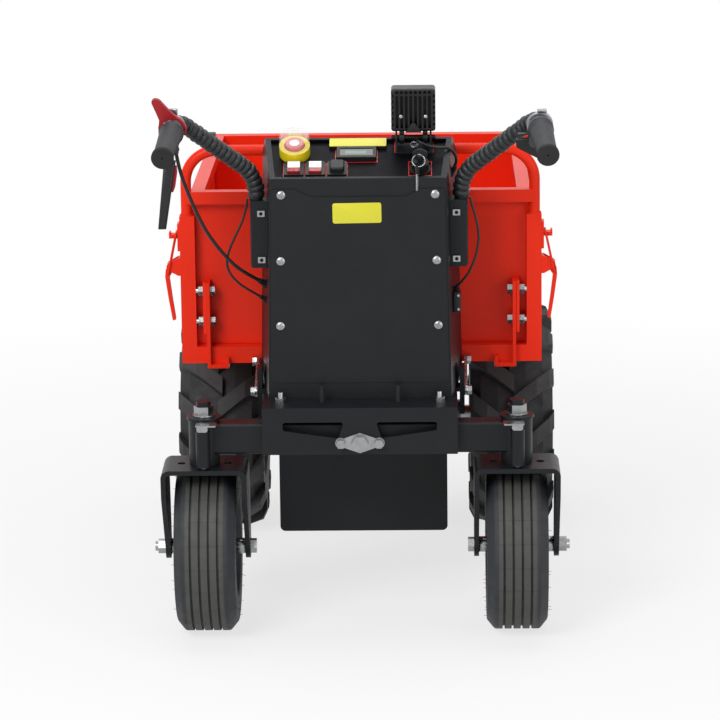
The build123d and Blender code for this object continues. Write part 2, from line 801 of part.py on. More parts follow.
# Tray floor: perimeter frame, cross bars, base sheet, a deck sheet laid inside the walls, and the two
# tipping lugs with their pins
deck_z = floor_bottom + floor_frame_h
deck_top = deck_z + deck_sheet
rear_post_y = tray_rear_y + post_w / 2
front_post_y = tray_front_y - post_w / 2
rear_wall_y = rear_post_y + hoop_rail_d / 2
front_wall_y = tray_front_y - post_w - sheet
side_wall_start = rear_wall_y + sheet
side_wall_l = front_wall_y - side_wall_start
wall_front_top = wall_top - wall_front_drop
lug_x = rail_x + rail_w / 2 + 2.0
pin_end_x = rail_x - rail_w / 2 - 2.0
tray_mid_y = (tray_rear_y + tray_front_y) / 2
with BuildPart() as tray_floor:
    with BuildSketch(Plane.XY.offset(floor_bottom)):
        with Locations((0, tray_mid_y)):
            Rectangle(2 * tray_half_w, tray_length)
            Rectangle(2 * (tray_half_w - tray_frame_w), tray_length - 2 * tray_frame_w, mode=Mode.SUBTRACT)
            with GridLocations(0, tray_length / 3, 1, 2):
                Rectangle(2 * tray_half_w, tray_frame_w)
    extrude(amount=floor_frame_h - sheet)
    with BuildSketch(Plane.XY.offset(deck_z - sheet)):
        with Locations((0, tray_mid_y)):
            Rectangle(2 * tray_half_w, tray_length)
    extrude(amount=sheet)
    with BuildSketch(Plane.XY.offset(deck_z)):
        with Locations((0, side_wall_start + side_wall_l / 2)):
            Rectangle(2 * (side_wall_x - sheet - side_gap), side_wall_l - 2 * side_gap)
    extrude(amount=deck_sheet)
    for sign in (-1, 1):
        with BuildSketch(wheel_plane(sign * lug_x, tray_pivot_y, tray_pivot_z)):
            Circle(tray_lug_r)
            with Locations((-tray_lug_r / 4, tray_pivot_drop / 2)):
                Rectangle(1.5 * tray_lug_r, tray_pivot_drop)
        extrude(amount=sign * tray_lug_t)
        with BuildSketch(wheel_plane(sign * lug_x, tray_pivot_y, tray_pivot_z)):
            Circle(tray_pivot_r)
        extrude(amount=-sign * (lug_x - pin_end_x))
save(tray_floor, "tray_floor")

# Corner posts: the rear pair is bored for the hoop
post_x = tray_half_w - post_w / 2
hoop_x = post_x + hoop_set_out
with BuildPart() as corner_posts:
    with BuildSketch(Plane.XY.offset(deck_z)):
        with Locations((-post_x, rear_post_y), (post_x, rear_post_y)):
            Rectangle(post_w, post_w)
    extrude(amount=post_top - deck_z)
    with BuildSketch(Plane.XY.offset(deck_z)):
        with Locations((-post_x, front_post_y), (post_x, front_post_y)):
            Rectangle(post_w, post_w)
    extrude(amount=wall_front_top - deck_z)
    with BuildSketch(Plane.XY.offset(post_top)):
        with Locations((-hoop_x, rear_post_y), (hoop_x, rear_post_y)):
            Circle(hoop_r + running_gap)
    extrude(amount=-hoop_seat_depth - side_gap, mode=Mode.SUBTRACT)
save(corner_posts, "corner_posts")

# Rear hoop: bent tube seated in the posts, with a cross rail welded between its legs
with BuildPart() as rear_hoop:
    with BuildLine():
        FilletPolyline(
            (-hoop_x, rear_post_y, post_top - hoop_seat_depth),
            (-hoop_x, rear_post_y, hoop_top - hoop_r),
            (hoop_x, rear_post_y, hoop_top - hoop_r),
            (hoop_x, rear_post_y, post_top - hoop_seat_depth),
            radius=hoop_bend_r,
        )
    with BuildSketch(Plane.XY.offset(post_top - hoop_seat_depth)):
        with Locations((-hoop_x, rear_post_y)):
            Circle(hoop_r)
    sweep()
    with BuildSketch(Plane.XY.offset(hoop_rail_bottom)):
        with Locations((0, rear_post_y)):
            Rectangle(2 * hoop_x, hoop_rail_d)
    extrude(amount=hoop_rail_h)
save(rear_hoop, "rear_hoop")

# End walls: rear sheet behind the hoop rail with bolt tabs, front sheet with a top rail
end_wall_half_w = tray_half_w - post_w
front_rail_h = 28.0
tab_t = 6.0
tab_x = hanger_x + hanger_t / 2
hanger_top = floor_bottom + hanger_h
tab_bottom = hanger_top - hanger_bolt_top - hanger_bolt_spacing - 20.0
hanger_back_y = tray_rear_y - 14.0
hanger_bolt_y = tray_rear_y + 4.0
bolt_rows = (hanger_top - hanger_bolt_top, hanger_top - hanger_bolt_top - hanger_bolt_spacing)
with BuildPart() as tray_end_walls:
    with BuildSketch(Plane.XY.offset(deck_z)):
        with Locations((0, rear_wall_y + sheet / 2)):
            Rectangle(2 * end_wall_half_w, sheet)
    extrude(amount=wall_top - deck_z)
    with BuildSketch(Plane.XY.offset(deck_z)):
        with Locations((0, front_wall_y + sheet / 2)):
            Rectangle(2 * end_wall_half_w, sheet)
    extrude(amount=wall_front_top - deck_z)
    with BuildSketch(Plane.XY.offset(wall_front_top - front_rail_h)):
        with Locations((0, front_wall_y + sheet + wall_rail_h / 2)):
            Rectangle(2 * end_wall_half_w, wall_rail_h)
    extrude(amount=front_rail_h)
    for sign in (-1, 1):
        with BuildSketch(wheel_plane(sign * tab_x, 0, 0)):
            with Locations(((hanger_back_y + 4 + rear_wall_y) / 2, (hanger_top + tab_bottom) / 2)):
                Rectangle(rear_wall_y - hanger_back_y - 4, hanger_top - tab_bottom)
            for row in bolt_rows:
                with Locations((hanger_bolt_y, row)):
                    Circle(hanger_bolt_r + running_gap, mode=Mode.SUBTRACT)
        extrude(amount=sign * tab_t)
save(tray_end_walls, "tray_end_walls")

# Side walls: sheets with an inward top rail that falls towards the front
with BuildPart() as tray_side_walls:
    for sign in (-1, 1):
        with BuildSketch(Plane.YZ.offset(sign * side_wall_x)):
            Polygon(
                (side_wall_start, deck_z),
                (front_wall_y, deck_z),
                (front_wall_y, wall_front_top),
                (side_wall_start, wall_top),
                align=None,
            )
        extrude(amount=-sign * sheet)
        with BuildSketch(Plane.YZ.offset(sign * wall_inner_x)):
            Polygon(
                (side_wall_start, wall_top - wall_rail_h),
                (front_wall_y, wall_front_top - wall_rail_h),
                (front_wall_y, wall_front_top),
                (side_wall_start, wall_top),
                align=None,
            )
        extrude(amount=sign * wall_rail_w)
save(tray_side_walls, "tray_side_walls")

# Hanger straps: bolted to the wall tabs, hooked under the floor frame
foot_t = 6.0
foot_lip_h = 12.0
with BuildPart() as hanger_brackets:
    for sign in (-1, 1):
        with BuildSketch(wheel_plane(sign * (hanger_x - hanger_t / 2), 0, 0)):
            Polygon(
                (hanger_back_y, floor_bottom - foot_t),
                (tray_rear_y, floor_bottom - foot_t),
                (tray_rear_y, deck_z),
                (rear_wall_y, deck_z),
                (rear_wall_y, hanger_top),
                (hanger_back_y, hanger_top),
                align=None,
            )
            for row in bolt_rows:
                with Locations((hanger_bolt_y, row)):
                    Circle(hanger_bolt_r + running_gap, mode=Mode.SUBTRACT)
        extrude(amount=sign * hanger_t)
        foot_inner_x = hanger_x + hanger_t / 2 - hanger_foot
        with BuildSketch(Plane.XY.offset(floor_bottom - foot_t)):
            with Locations((sign * (hanger_x + foot_inner_x) / 2, (hanger_back_y + tray_rear_y) / 2 + 6)):
                Rectangle(hanger_x - foot_inner_x, tray_rear_y - hanger_back_y + 12)
        extrude(amount=foot_t)
        with BuildSketch(Plane.XY.offset(floor_bottom - foot_t)):
            with Locations((sign * (foot_inner_x + foot_t / 2), (hanger_back_y + tray_rear_y) / 2)):
                Rectangle(foot_t, tray_rear_y - hanger_back_y)
        extrude(amount=foot_t + foot_lip_h)
save(hanger_brackets, "hanger_brackets")

# Hanger bolts: head inside, washer and nut outside
tray_bolt_head_r = 9.0
tray_bolt_head_h = 8.0
with BuildPart() as tray_bolts:
    for sign in (-1, 1):
        grip_in = sign * (hanger_x - hanger_t / 2)
        grip_out = sign * (tab_x + tab_t)
        with BuildSketch(wheel_plane(grip_in, 0, 0)):
            with Locations(*[(hanger_bolt_y, row) for row in bolt_rows]):
                Circle(hanger_bolt_r)
        extrude(amount=grip_out - grip_in + sign * 12, dir=(1, 0, 0))
        with BuildSketch(wheel_plane(grip_in, 0, 0)):
            with Locations(*[(hanger_bolt_y, row) for row in bolt_rows]):
                RegularPolygon(tray_bolt_head_r, 6)
        extrude(amount=-sign * tray_bolt_head_h)
        with BuildSketch(wheel_plane(grip_out, 0, 0)):
            with Locations(*[(hanger_bolt_y, row) for row in bolt_rows]):
                RegularPolygon(tray_bolt_head_r, 6)
        extrude(amount=sign * tray_bolt_head_h)
save(tray_bolts, "tray_bolts")

# Draw latches: base with cheeks and pin, catch with a lipped hook, lever and wire bail
latch_y = tray_rear_y + latch_y_offset
latch_plate = 4.0
cheek_t = 3.0
lever_side_gap = 0.3
lever_half_w = latch_base_w / 2 - cheek_t - lever_side_gap
latch_pivot_x = tray_half_w + 16.0
bail_pivot_x = latch_pivot_x + 4.5
bail_pivot_z = latch_pivot_z - 11.0
hook_arm_t = 7.0
hook_lip_h = 3.5
hook_half_w = 8.0
bail_top_x = tray_half_w + latch_plate + bail_wire_r + side_gap
bail_top_z = catch_z - 3 + bail_wire_r + side_gap
with BuildPart() as latch_bases:
    for sign in (-1, 1):
        for cheek_y in (latch_y - latch_base_w / 2, latch_y + latch_base_w / 2 - cheek_t):
            with BuildSketch(Plane.XZ.offset(-cheek_y)):
                with Locations((sign * latch_pivot_x, latch_pivot_z)):
                    Circle(2.4 * latch_pin_r)
                with Locations((sign * (tray_half_w + latch_plate / 2), latch_pivot_z)):
                    Rectangle(latch_plate, latch_base_h)
                make_hull()
            extrude(amount=-cheek_t)
        with BuildSketch(Plane.YZ.offset(sign * tray_half_w)):
            with Locations((latch_y, latch_pivot_z)):
                Rectangle(latch_base_w, latch_base_h)
            with Locations((latch_y, catch_z - 8)):
                Rectangle(latch_base_w, catch_plate_h)
        extrude(amount=sign * latch_plate)
        with BuildSketch(Plane.XZ.offset(-(latch_y - latch_base_w / 2))):
            with Locations((sign * latch_pivot_x, latch_pivot_z)):
                Circle(latch_pin_r)
        extrude(amount=-latch_base_w)
        with BuildSketch(Plane.XZ.offset(-(latch_y - hook_half_w))):
            hook_tip_x = tray_half_w + catch_reach
            Polygon(
                (sign * tray_half_w, catch_z - 3 - hook_arm_t),
                (sign * hook_tip_x, catch_z - 3 - hook_arm_t),
                (sign * hook_tip_x, catch_z - 3 + hook_lip_h),
                (sign * (hook_tip_x - 3), catch_z - 3 + hook_lip_h),
                (sign * (hook_tip_x - 3), catch_z - 3),
                (sign * tray_half_w, catch_z - 3),
                align=None,
            )
        extrude(amount=-2 * hook_half_w)
save(latch_bases, "latch_bases")

lever_tip_z = latch_pivot_z - latch_lever_length
for side, sign in (("left", -1), ("right", 1)):
    with BuildPart() as latch_lever:
        with BuildSketch(Plane.XZ.offset(-(latch_y - lever_half_w))):
            with Locations((sign * latch_pivot_x, latch_pivot_z)):
                Circle(2.2 * latch_pin_r)
            with Locations((sign * bail_pivot_x, bail_pivot_z)):
                Circle(2.8 * bail_wire_r)
            make_hull()
            Polygon(
                (sign * (latch_pivot_x + 1), bail_pivot_z + 1),
                (sign * (latch_pivot_x + 9), latch_pivot_z - 6),
                (sign * (latch_pivot_x + 10), latch_pivot_z - 18),
                (sign * (latch_pivot_x + 5), latch_pivot_z - 0.6 * latch_lever_length),
                (sign * (latch_pivot_x - 1), lever_tip_z),
                (sign * (latch_pivot_x - 6), lever_tip_z + 1),
                (sign * (latch_pivot_x - 1), latch_pivot_z - 0.6 * latch_lever_length),
                (sign * (latch_pivot_x + 3), latch_pivot_z - 22),
                align=None,
            )
            with Locations((sign * latch_pivot_x, latch_pivot_z)):
                Circle(latch_pin_r + running_gap, mode=Mode.SUBTRACT)
            with Locations((sign * bail_pivot_x, bail_pivot_z)):
                Circle(bail_wire_r + running_gap, mode=Mode.SUBTRACT)
        extrude(amount=-2 * lever_half_w)
    save(latch_lever, f"latch_lever_{side}")

    with BuildPart() as latch_bail:
        bail_foot = (sign * bail_pivot_x, bail_pivot_z)
        bail_head = (sign * bail_top_x, bail_top_z)
        with BuildLine():
            FilletPolyline(
                (bail_foot[0], latch_y + side_gap, bail_foot[1]),
                (bail_foot[0], latch_y + bail_half_w, bail_foot[1]),
                (bail_head[0], latch_y + bail_half_w, bail_head[1]),
                (bail_head[0], latch_y - bail_half_w, bail_head[1]),
                (bail_foot[0], latch_y - bail_half_w, bail_foot[1]),
                (bail_foot[0], latch_y - side_gap, bail_foot[1]),
                radius=2 * bail_wire_r,
            )
        with BuildSketch(Plane.XZ.offset(-(latch_y + side_gap))):
            with Locations(bail_foot):
                Circle(bail_wire_r)
        sweep()
    save(latch_bail, f"latch_bail_{side}")

# Battery box: folded shell, leaning rear face, sloped top, sides splayed towards the front
box_wall = 3.0
box_rear_y = kingpin_y + box_rear_offset
near_rim_y = box_rear_y + box_lean
ridge_y = near_rim_y + panel_run
ridge_z = box_near_rim_z + panel_rise
box_h = box_near_rim_z - chassis_top
side_lean = (box_top_narrowing + box_side_splay * box_lean) / box_h
side_normal = Vector(1, -box_side_splay, side_lean).normalized()


def side_plane(sign, inset):
    """Outer side of the box moved inwards by an inset, with its normal pointing out."""
    out = Vector(sign * side_normal.X, side_normal.Y, side_normal.Z)
    corner = Vector(sign * box_rear_half_w, box_rear_y, chassis_top)
    return Plane(origin=corner - out * inset, z_dir=out)


def side_x(y, z):
    """Half width of the box at a height and a place along it."""
    return box_rear_half_w + box_side_splay * (y - box_rear_y) - side_lean * (z - chassis_top)


box_profile = (
    (box_rear_y, chassis_top),
    (near_rim_y, box_near_rim_z),
    (ridge_y, ridge_z),
    (box_front_y, box_front_top_z),
    (box_front_y, chassis_top),
)
rear_lean_angle = degrees(atan2(box_lean, box_h))
panel_angle = degrees(atan2(panel_rise, panel_run))
panel_length = (panel_run**2 + panel_rise**2) ** 0.5
panel_up = Vector(0, cos(radians(panel_angle)), sin(radians(panel_angle)))
panel_out = Vector(0, -sin(radians(panel_angle)), cos(radians(panel_angle)))
panel_centre = Vector(0, (near_rim_y + ridge_y) / 2, (box_near_rim_z + ridge_z) / 2)
panel_slope = Plane(origin=panel_centre, x_dir=(1, 0, 0), z_dir=panel_out)
panel_top = panel_slope.offset(-panel_recess)
rear_out = Vector(0, -cos(radians(rear_lean_angle)), sin(radians(rear_lean_angle)))
rear_face = Plane(origin=(0, box_rear_y, chassis_top), x_dir=(1, 0, 0), z_dir=rear_out)
rim_near = 5.0
rim_far = 5.0


def rear_up(z):
    """Distance up the leaning rear face at a height."""
    return (z - chassis_top) / cos(radians(rear_lean_angle))


def panel_outline(margin):
    """Corners of the panel opening, grown by a margin, on the slope."""
    near_v = -panel_length / 2 + rim_near - margin
    far_v = panel_length / 2 - rim_far + margin
    near_u = side_x(near_rim_y, box_near_rim_z) - rim_w + margin
    far_u = side_x(ridge_y, ridge_z) - rim_w + margin
    return ((-near_u, near_v), (near_u, near_v), (far_u, far_v), (-far_u, far_v))


screw_places = []
for row in screw_rows:
    screw_u = side_x(box_rear_y + (row - chassis_top) * box_lean / box_h, row) - screw_margin
    screw_places += [(-screw_u, rear_up(row)), (screw_u, rear_up(row))]
screw_r = 3.0
service_half_w = 104.0
service_bottom = 455.0
service_top = 706.0

with BuildPart() as box_core:
    with BuildSketch(Plane.YZ.offset(-2 * box_rear_half_w)):
        sunk = [(y, z - 40 if z == chassis_top else z) for y, z in box_profile]
        Polygon(*sunk, align=None)
        offset(amount=-box_wall, kind=Kind.INTERSECTION)
    extrude(amount=4 * box_rear_half_w)
    for sign in (-1, 1):
        split(bisect_by=side_plane(sign, box_wall), keep=Keep.BOTTOM)

with BuildPart() as control_box:
    with BuildSketch(Plane.YZ.offset(-2 * box_rear_half_w)):
        Polygon(*box_profile, align=None)
    extrude(amount=4 * box_rear_half_w)
    for sign in (-1, 1):
        split(bisect_by=side_plane(sign, 0), keep=Keep.BOTTOM)
    add(box_core.part, mode=Mode.SUBTRACT)
    with BuildSketch(panel_slope):
        Polygon(*panel_outline(0), align=None)
    extrude(amount=2 * box_wall, both=True, mode=Mode.SUBTRACT)
    with BuildSketch(rear_face):
        with Locations((0, rear_up((service_bottom + service_top) / 2))):
            RectangleRounded(2 * service_half_w, service_top - service_bottom, 8)
        with Locations(*screw_places):
            Circle(screw_r + running_gap)
    extrude(amount=-2 * box_wall, mode=Mode.SUBTRACT)
save(control_box, "control_box")

# Rear cover: sheet with a dipped top edge, lying on the rear face
cover_top_z = box_near_rim_z - cover_top_gap
with BuildPart() as rear_cover:
    low_u = side_x(box_rear_y, cover_bottom_z) - cover_margin
    high_u = side_x(near_rim_y, cover_top_z) - cover_margin
    dip_v = rear_up(cover_top_z - cover_dip)
    with BuildSketch(rear_face) as cover_face:
        Polygon(
            (-low_u, rear_up(cover_bottom_z)),
            (low_u, rear_up(cover_bottom_z)),
            (high_u, rear_up(cover_top_z)),
            (cover_dip_half_w + cover_dip_run, rear_up(cover_top_z)),
            (cover_dip_half_w, dip_v),
            (-cover_dip_half_w, dip_v),
            (-cover_dip_half_w - cover_dip_run, rear_up(cover_top_z)),
            (-high_u, rear_up(cover_top_z)),
            align=None,
        )
        fillet(cover_face.vertices(), 4)
        with Locations(*screw_places):
            Circle(screw_r + running_gap, mode=Mode.SUBTRACT)
    extrude(amount=sheet)
save(rear_cover, "rear_cover")

with BuildPart() as cover_screws:
    with BuildSketch(rear_face.offset(-2 * box_wall)):
        with Locations(*screw_places):
            Circle(screw_r)
    extrude(amount=2 * box_wall + sheet)
    with BuildSketch(rear_face.offset(sheet)):
        with Locations(*screw_places):
            Circle(screw_head_r)
    extrude(amount=screw_head_h)
    fillet(cover_screws.faces().sort_by(Axis(rear_face.origin, rear_out))[-6:].edges(), screw_head_h / 2)
save(cover_screws, "cover_screws")

# Control panel: a shallow pan under the rim, with seats cut for its fittings
pan_wall = 2.5
key_hole_r = 8.0
with BuildPart() as control_panel:
    with BuildSketch(panel_top.offset(-pan_wall)):
        Polygon(*panel_outline(pan_wall), align=None)
    extrude(amount=panel_recess + pan_wall - box_wall)
    with BuildSketch(panel_top):
        Polygon(*panel_outline(0), align=None)
    extrude(amount=panel_recess, mode=Mode.SUBTRACT)
    with BuildSketch(panel_top):
        with Locations((key_u, key_v)):
            Circle(key_hole_r + running_gap)
    extrude(amount=-pan_wall, mode=Mode.SUBTRACT)
save(control_panel, "control_panel")

# Emergency stop: ring base with hinge ears, mushroom button, clear flap
estop_bore_r = estop_button_r + 1.0
estop_floor_h = 6.0
estop_stem_r = 6.0
hinge_out = 3.0
hinge_v = estop_v + estop_r + hinge_out
hinge_h = estop_base_h - 1.0
hinge_pin_r = 1.5
ear_r = 3.4
knuckle_r = hinge_out - side_gap
knuckle_half_w = 6.0
ear_w = 3.0
hinge_line = Plane(
    origin=panel_top.from_local_coords((estop_u, hinge_v, hinge_h)),
    x_dir=panel_up,
    z_dir=(1, 0, 0),
)
with BuildPart() as estop_base:
    with BuildSketch(panel_top):
        with Locations((estop_u, estop_v)):
            Circle(estop_r)
            Circle(estop_stem_r + running_gap, mode=Mode.SUBTRACT)
    extrude(amount=estop_floor_h)
    with BuildSketch(panel_top):
        with Locations((estop_u, estop_v)):
            Circle(estop_r)
            Circle(estop_bore_r, mode=Mode.SUBTRACT)
    extrude(amount=estop_base_h)
    for sign in (-1, 1):
        with BuildSketch(hinge_line.offset(sign * (knuckle_half_w + side_gap))):
            Circle(ear_r)
            with Locations((-ear_r, -2 * ear_r)):
                Rectangle(4 * ear_r, 2 * ear_r, align=(Align.CENTER, Align.MIN))
        extrude(amount=sign * ear_w)
    with BuildSketch(hinge_line.offset(-knuckle_half_w - side_gap)):
        Circle(hinge_pin_r)
    extrude(amount=2 * (knuckle_half_w + side_gap))
save(estop_base, "estop_base")

button_head_h = 9.0
button_rise = 5.0
with BuildPart() as estop_button:
    with BuildSketch(panel_top.offset(estop_base_h + button_rise - button_head_h)):
        with Locations((estop_u, estop_v)):
            Circle(estop_button_r)
    extrude(amount=button_head_h)
    fillet(estop_button.edges().sort_by(Axis(panel_centre, panel_out))[-1], 3)
    with BuildSketch(panel_top.offset(estop_travel + 0.5)):
        with Locations((estop_u, estop_v)):
            Circle(estop_stem_r)
    extrude(amount=estop_base_h + button_rise - button_head_h - estop_travel - 0.5)
save(estop_button, "estop_button")

with BuildPart() as estop_cover:
    with BuildSketch(panel_top.offset(estop_base_h + side_gap)):
        with Locations((estop_u, estop_v)):
            Circle(estop_r)
    extrude(amount=estop_cover_h)
    top_rim = estop_cover.edges().sort_by(Axis(panel_centre, panel_out))[-1]
    fillet(top_rim, 5)
    with BuildSketch(panel_top.offset(estop_base_h + side_gap)):
        with Locations((estop_u, estop_v)):
            Circle(estop_r - estop_cover_wall)
    extrude(amount=estop_cover_h - estop_cover_wall, mode=Mode.SUBTRACT)
    with BuildSketch(hinge_line.offset(-knuckle_half_w)):
        Circle(knuckle_r)
        with Locations((-ear_r / 2, ear_r + 1)):
            Rectangle(1.5 * ear_r, 2 * ear_r + 2)
        Circle(hinge_pin_r + running_gap, mode=Mode.SUBTRACT)
    extrude(amount=2 * knuckle_half_w)
    with BuildSketch(panel_top.offset(estop_base_h - 2 * ear_r)):
        with Locations((estop_u, estop_v)):
            Circle(estop_r + side_gap)
    extrude(amount=2 * ear_r + side_gap, mode=Mode.SUBTRACT)
    with BuildSketch(panel_top.offset(estop_base_h + side_gap)):
        with Locations((estop_u, estop_v)):
            Circle(estop_r - estop_cover_wall)
    extrude(amount=estop_cover_h - 6, mode=Mode.SUBTRACT)
save(estop_cover, "estop_cover")

# Rocker switches in their bezels, and a capped charging socket beside them
rocker_pin_r = 1.5
rocker_pin_h = 4.0
rocker_gap = 0.4
socket_cap_h = 9.0
bezel_wall_h = 6.0
with BuildPart() as switch_bezels:
    for index, bezel_u in enumerate(bezel_us):
        with BuildSketch(panel_top):
            with Locations((bezel_u, bezel_v)):
                RectangleRounded(bezel_w, bezel_l, 3)
                if index < 2:
                    Rectangle(rocker_w + 2 * rocker_gap, rocker_l + 4, mode=Mode.SUBTRACT)
        extrude(amount=bezel_wall_h)
    with BuildSketch(panel_top.offset(bezel_wall_h)):
        with Locations((bezel_us[2], bezel_v)):
            RectangleRounded(bezel_w - 8, bezel_l - 10, 6)
    extrude(amount=socket_cap_h)
    cap_edges = switch_bezels.faces().sort_by(Axis(panel_centre, panel_out))[-1].edges()
    fillet(cap_edges, 3)
    for bezel_u in bezel_us[:2]:
        rocker_axis = Plane(
            origin=panel_top.from_local_coords((bezel_u, bezel_v, rocker_pin_h)),
            x_dir=panel_up,
            z_dir=(1, 0, 0),
        )
        with BuildSketch(rocker_axis.offset(-bezel_w / 2 + 1)):
            Circle(rocker_pin_r + running_gap)
        extrude(amount=bezel_w - 2, mode=Mode.SUBTRACT)
save(switch_bezels, "switch_bezels")

for side, bezel_u in (("left", bezel_us[0]), ("right", bezel_us[1])):
    rocker_axis = Plane(
        origin=panel_top.from_local_coords((bezel_u, bezel_v, rocker_pin_h)),
        x_dir=panel_up,
        z_dir=(1, 0, 0),
    )
    with BuildPart() as rocker:
        with BuildSketch(rocker_axis.offset(-rocker_w / 2)):
            Polygon(
                (-rocker_l / 2, -1.5),
                (0, -3.2),
                (rocker_l / 2, -1.5),
                (rocker_l / 2, 6),
                (0, 4.5),
                (-rocker_l / 2, 6),
                align=None,
            )
        extrude(amount=rocker_w)
        with BuildSketch(rocker_axis.offset(-bezel_w / 2 + 2)):
            Circle(rocker_pin_r)
        extrude(amount=bezel_w - 4)
    save(rocker, f"rocker_{side}")

# Battery display: tilted block with a sunken window
display_h = 9.0
display_frame = 5.0
with BuildPart() as battery_display:
    with BuildSketch(panel_top):
        with Locations((display_u, display_v)):
            RectangleRounded(display_w, display_l, 2)
    extrude(amount=display_h)
    with BuildSketch(panel_top.offset(display_h)):
        with Locations((display_u, display_v)):
            Rectangle(display_w - 2 * display_frame, display_l - 2 * display_frame)
    extrude(amount=-2, mode=Mode.SUBTRACT)
save(battery_display, "battery_display")

# Key switch through the panel, and the key in it
key_slot_l = 9.0
key_slot_depth = 12.0
with BuildPart() as key_switch:
    with BuildSketch(panel_top):
        with Locations((key_u, key_v)):
            Circle(key_barrel_r + 3)
    extrude(amount=3)
    with BuildSketch(panel_top.offset(3)):
        with Locations((key_u, key_v)):
            Circle(key_barrel_r)
    extrude(amount=key_barrel_h - 3)
    with BuildSketch(panel_top):
        with Locations((key_u, key_v)):
            Circle(key_hole_r)
    extrude(amount=-26)
    with BuildSketch(panel_top.offset(key_barrel_h)):
        with Locations((key_u, key_v)):
            Circle(key_slot_l / 2 + running_gap)
    extrude(amount=-key_slot_depth, mode=Mode.SUBTRACT)
save(key_switch, "key_switch")

key_bow_hole_r = 4.0
key_bow_t = 2.4
bow_lift = key_head_r + 3.0
key_plane = Plane(
    origin=panel_top.from_local_coords((key_u, key_v, key_barrel_h)),
    x_dir=(1, 0, 0),
    z_dir=-panel_up,
)
with BuildPart() as ignition_key:
    with BuildSketch(panel_top.offset(key_barrel_h - key_slot_depth + side_gap)):
        with Locations((key_u, key_v)):
            Circle(key_slot_l / 2)
    extrude(amount=key_slot_depth - side_gap)
    with BuildSketch(key_plane.offset(-key_bow_t / 2)):
        with Locations((0, bow_lift)):
            Circle(key_head_r)
        Rectangle(key_slot_l, bow_lift, align=(Align.CENTER, Align.MIN))
        with Locations((0, bow_lift)):
            Circle(key_bow_hole_r, mode=Mode.SUBTRACT)
    extrude(amount=key_bow_t)
save(ignition_key, "ignition_key")

# Work lamp on a U bracket: foot on the panel, upright arms, finned housing with a lens to the front
lamp_foot = panel_top.from_local_coords((lamp_u, lamp_v, 0))
lamp_pivot_z = lamp_foot.Z + lamp_pivot_lift
lamp_bottom = lamp_pivot_z + lamp_clear
lamp_arm_r = lamp_arm_w / 2
foot_plate_l = 26.0
with BuildPart() as lamp_bracket:
    with BuildSketch(panel_top):
        with Locations((lamp_u, lamp_v)):
            Rectangle(lamp_foot_w, foot_plate_l)
    extrude(amount=lamp_arm_t)
    for sign in (-1, 1):
        arm_x = lamp_u + sign * lamp_arm_half
        with BuildSketch(wheel_plane(arm_x - lamp_arm_t / 2, lamp_foot.Y, lamp_pivot_z)):
            Circle(lamp_arm_r)
            with Locations((0, -lamp_pivot_lift)):
                Rectangle(lamp_arm_w, 2 * lamp_pivot_lift)
            Circle(lamp_bolt_r + running_gap, mode=Mode.SUBTRACT)
        extrude(amount=lamp_arm_t)
    split(bisect_by=panel_top, keep=Keep.TOP)
save(lamp_bracket, "lamp_bracket")

lens_recess = 4.0
lens_frame = 6.0
side_fin_count = 6
vent_h = 5.0
vent_edge = 3.0
vent_depth = 10.0
with BuildPart() as work_lamp:
    with BuildSketch(Plane.XY.offset(lamp_bottom)):
        with Locations((lamp_u, lamp_foot.Y)):
            RectangleRounded(lamp_w, lamp_d, 4)
    extrude(amount=lamp_h)
    fillet(work_lamp.edges().filter_by(Axis.X), 5)
    with BuildSketch(Plane.XZ.offset(-(lamp_foot.Y + lamp_d / 2))):
        with Locations((lamp_u, lamp_bottom + lamp_h / 2)):
            RectangleRounded(lamp_w - 2 * lens_frame, lamp_h - 2 * lens_frame, 5)
    extrude(amount=lens_recess, mode=Mode.SUBTRACT)
    fin_pitch = (lamp_w - 12) / lamp_fin_count
    with BuildSketch(Plane.XZ.offset(-(lamp_foot.Y - lamp_d / 2))):
        with Locations((lamp_u, lamp_bottom + lamp_h / 2 - 3)):
            with GridLocations(fin_pitch, 0, lamp_fin_count, 1):
                SlotOverall(lamp_h - 16, lamp_fin_slot, rotation=90)
    extrude(amount=-lamp_fin_depth, mode=Mode.SUBTRACT)
    with BuildSketch(Plane.XZ.offset(-(lamp_foot.Y - lamp_d / 2))):
        with Locations((lamp_u, lamp_bottom + lamp_h - vent_edge - vent_h / 2)):
            with GridLocations(fin_pitch, 0, lamp_fin_count, 1):
                Rectangle(lamp_fin_slot, vent_h)
    extrude(amount=-vent_depth, mode=Mode.SUBTRACT)
    side_pitch = (lamp_h - 14) / side_fin_count
    for sign in (-1, 1):
        with BuildSketch(Plane.YZ.offset(lamp_u + sign * lamp_w / 2)):
            with Locations((lamp_foot.Y - lamp_d / 4, lamp_bottom + lamp_h / 2)):
                with GridLocations(0, side_pitch, 1, side_fin_count):
                    Rectangle(lamp_d / 2 + 4, side_pitch / 2)
        extrude(amount=-sign * 4, mode=Mode.SUBTRACT)
    for sign in (-1, 1):
        with BuildSketch(wheel_plane(lamp_u + sign * lamp_lug_w / 2, lamp_foot.Y, lamp_pivot_z)):
            Circle(lamp_arm_r)
            with Locations((0, (lamp_clear + lens_frame) / 2)):
                Rectangle(lamp_arm_w - 6, lamp_clear + lens_frame)
        extrude(amount=-sign * lamp_lug_t)
    with BuildSketch(wheel_plane(lamp_u, lamp_foot.Y, lamp_pivot_z)):
        Circle(lamp_bolt_r)
    extrude(amount=lamp_arm_half + lamp_arm_t + 5, both=True)
save(work_lamp, "work_lamp")

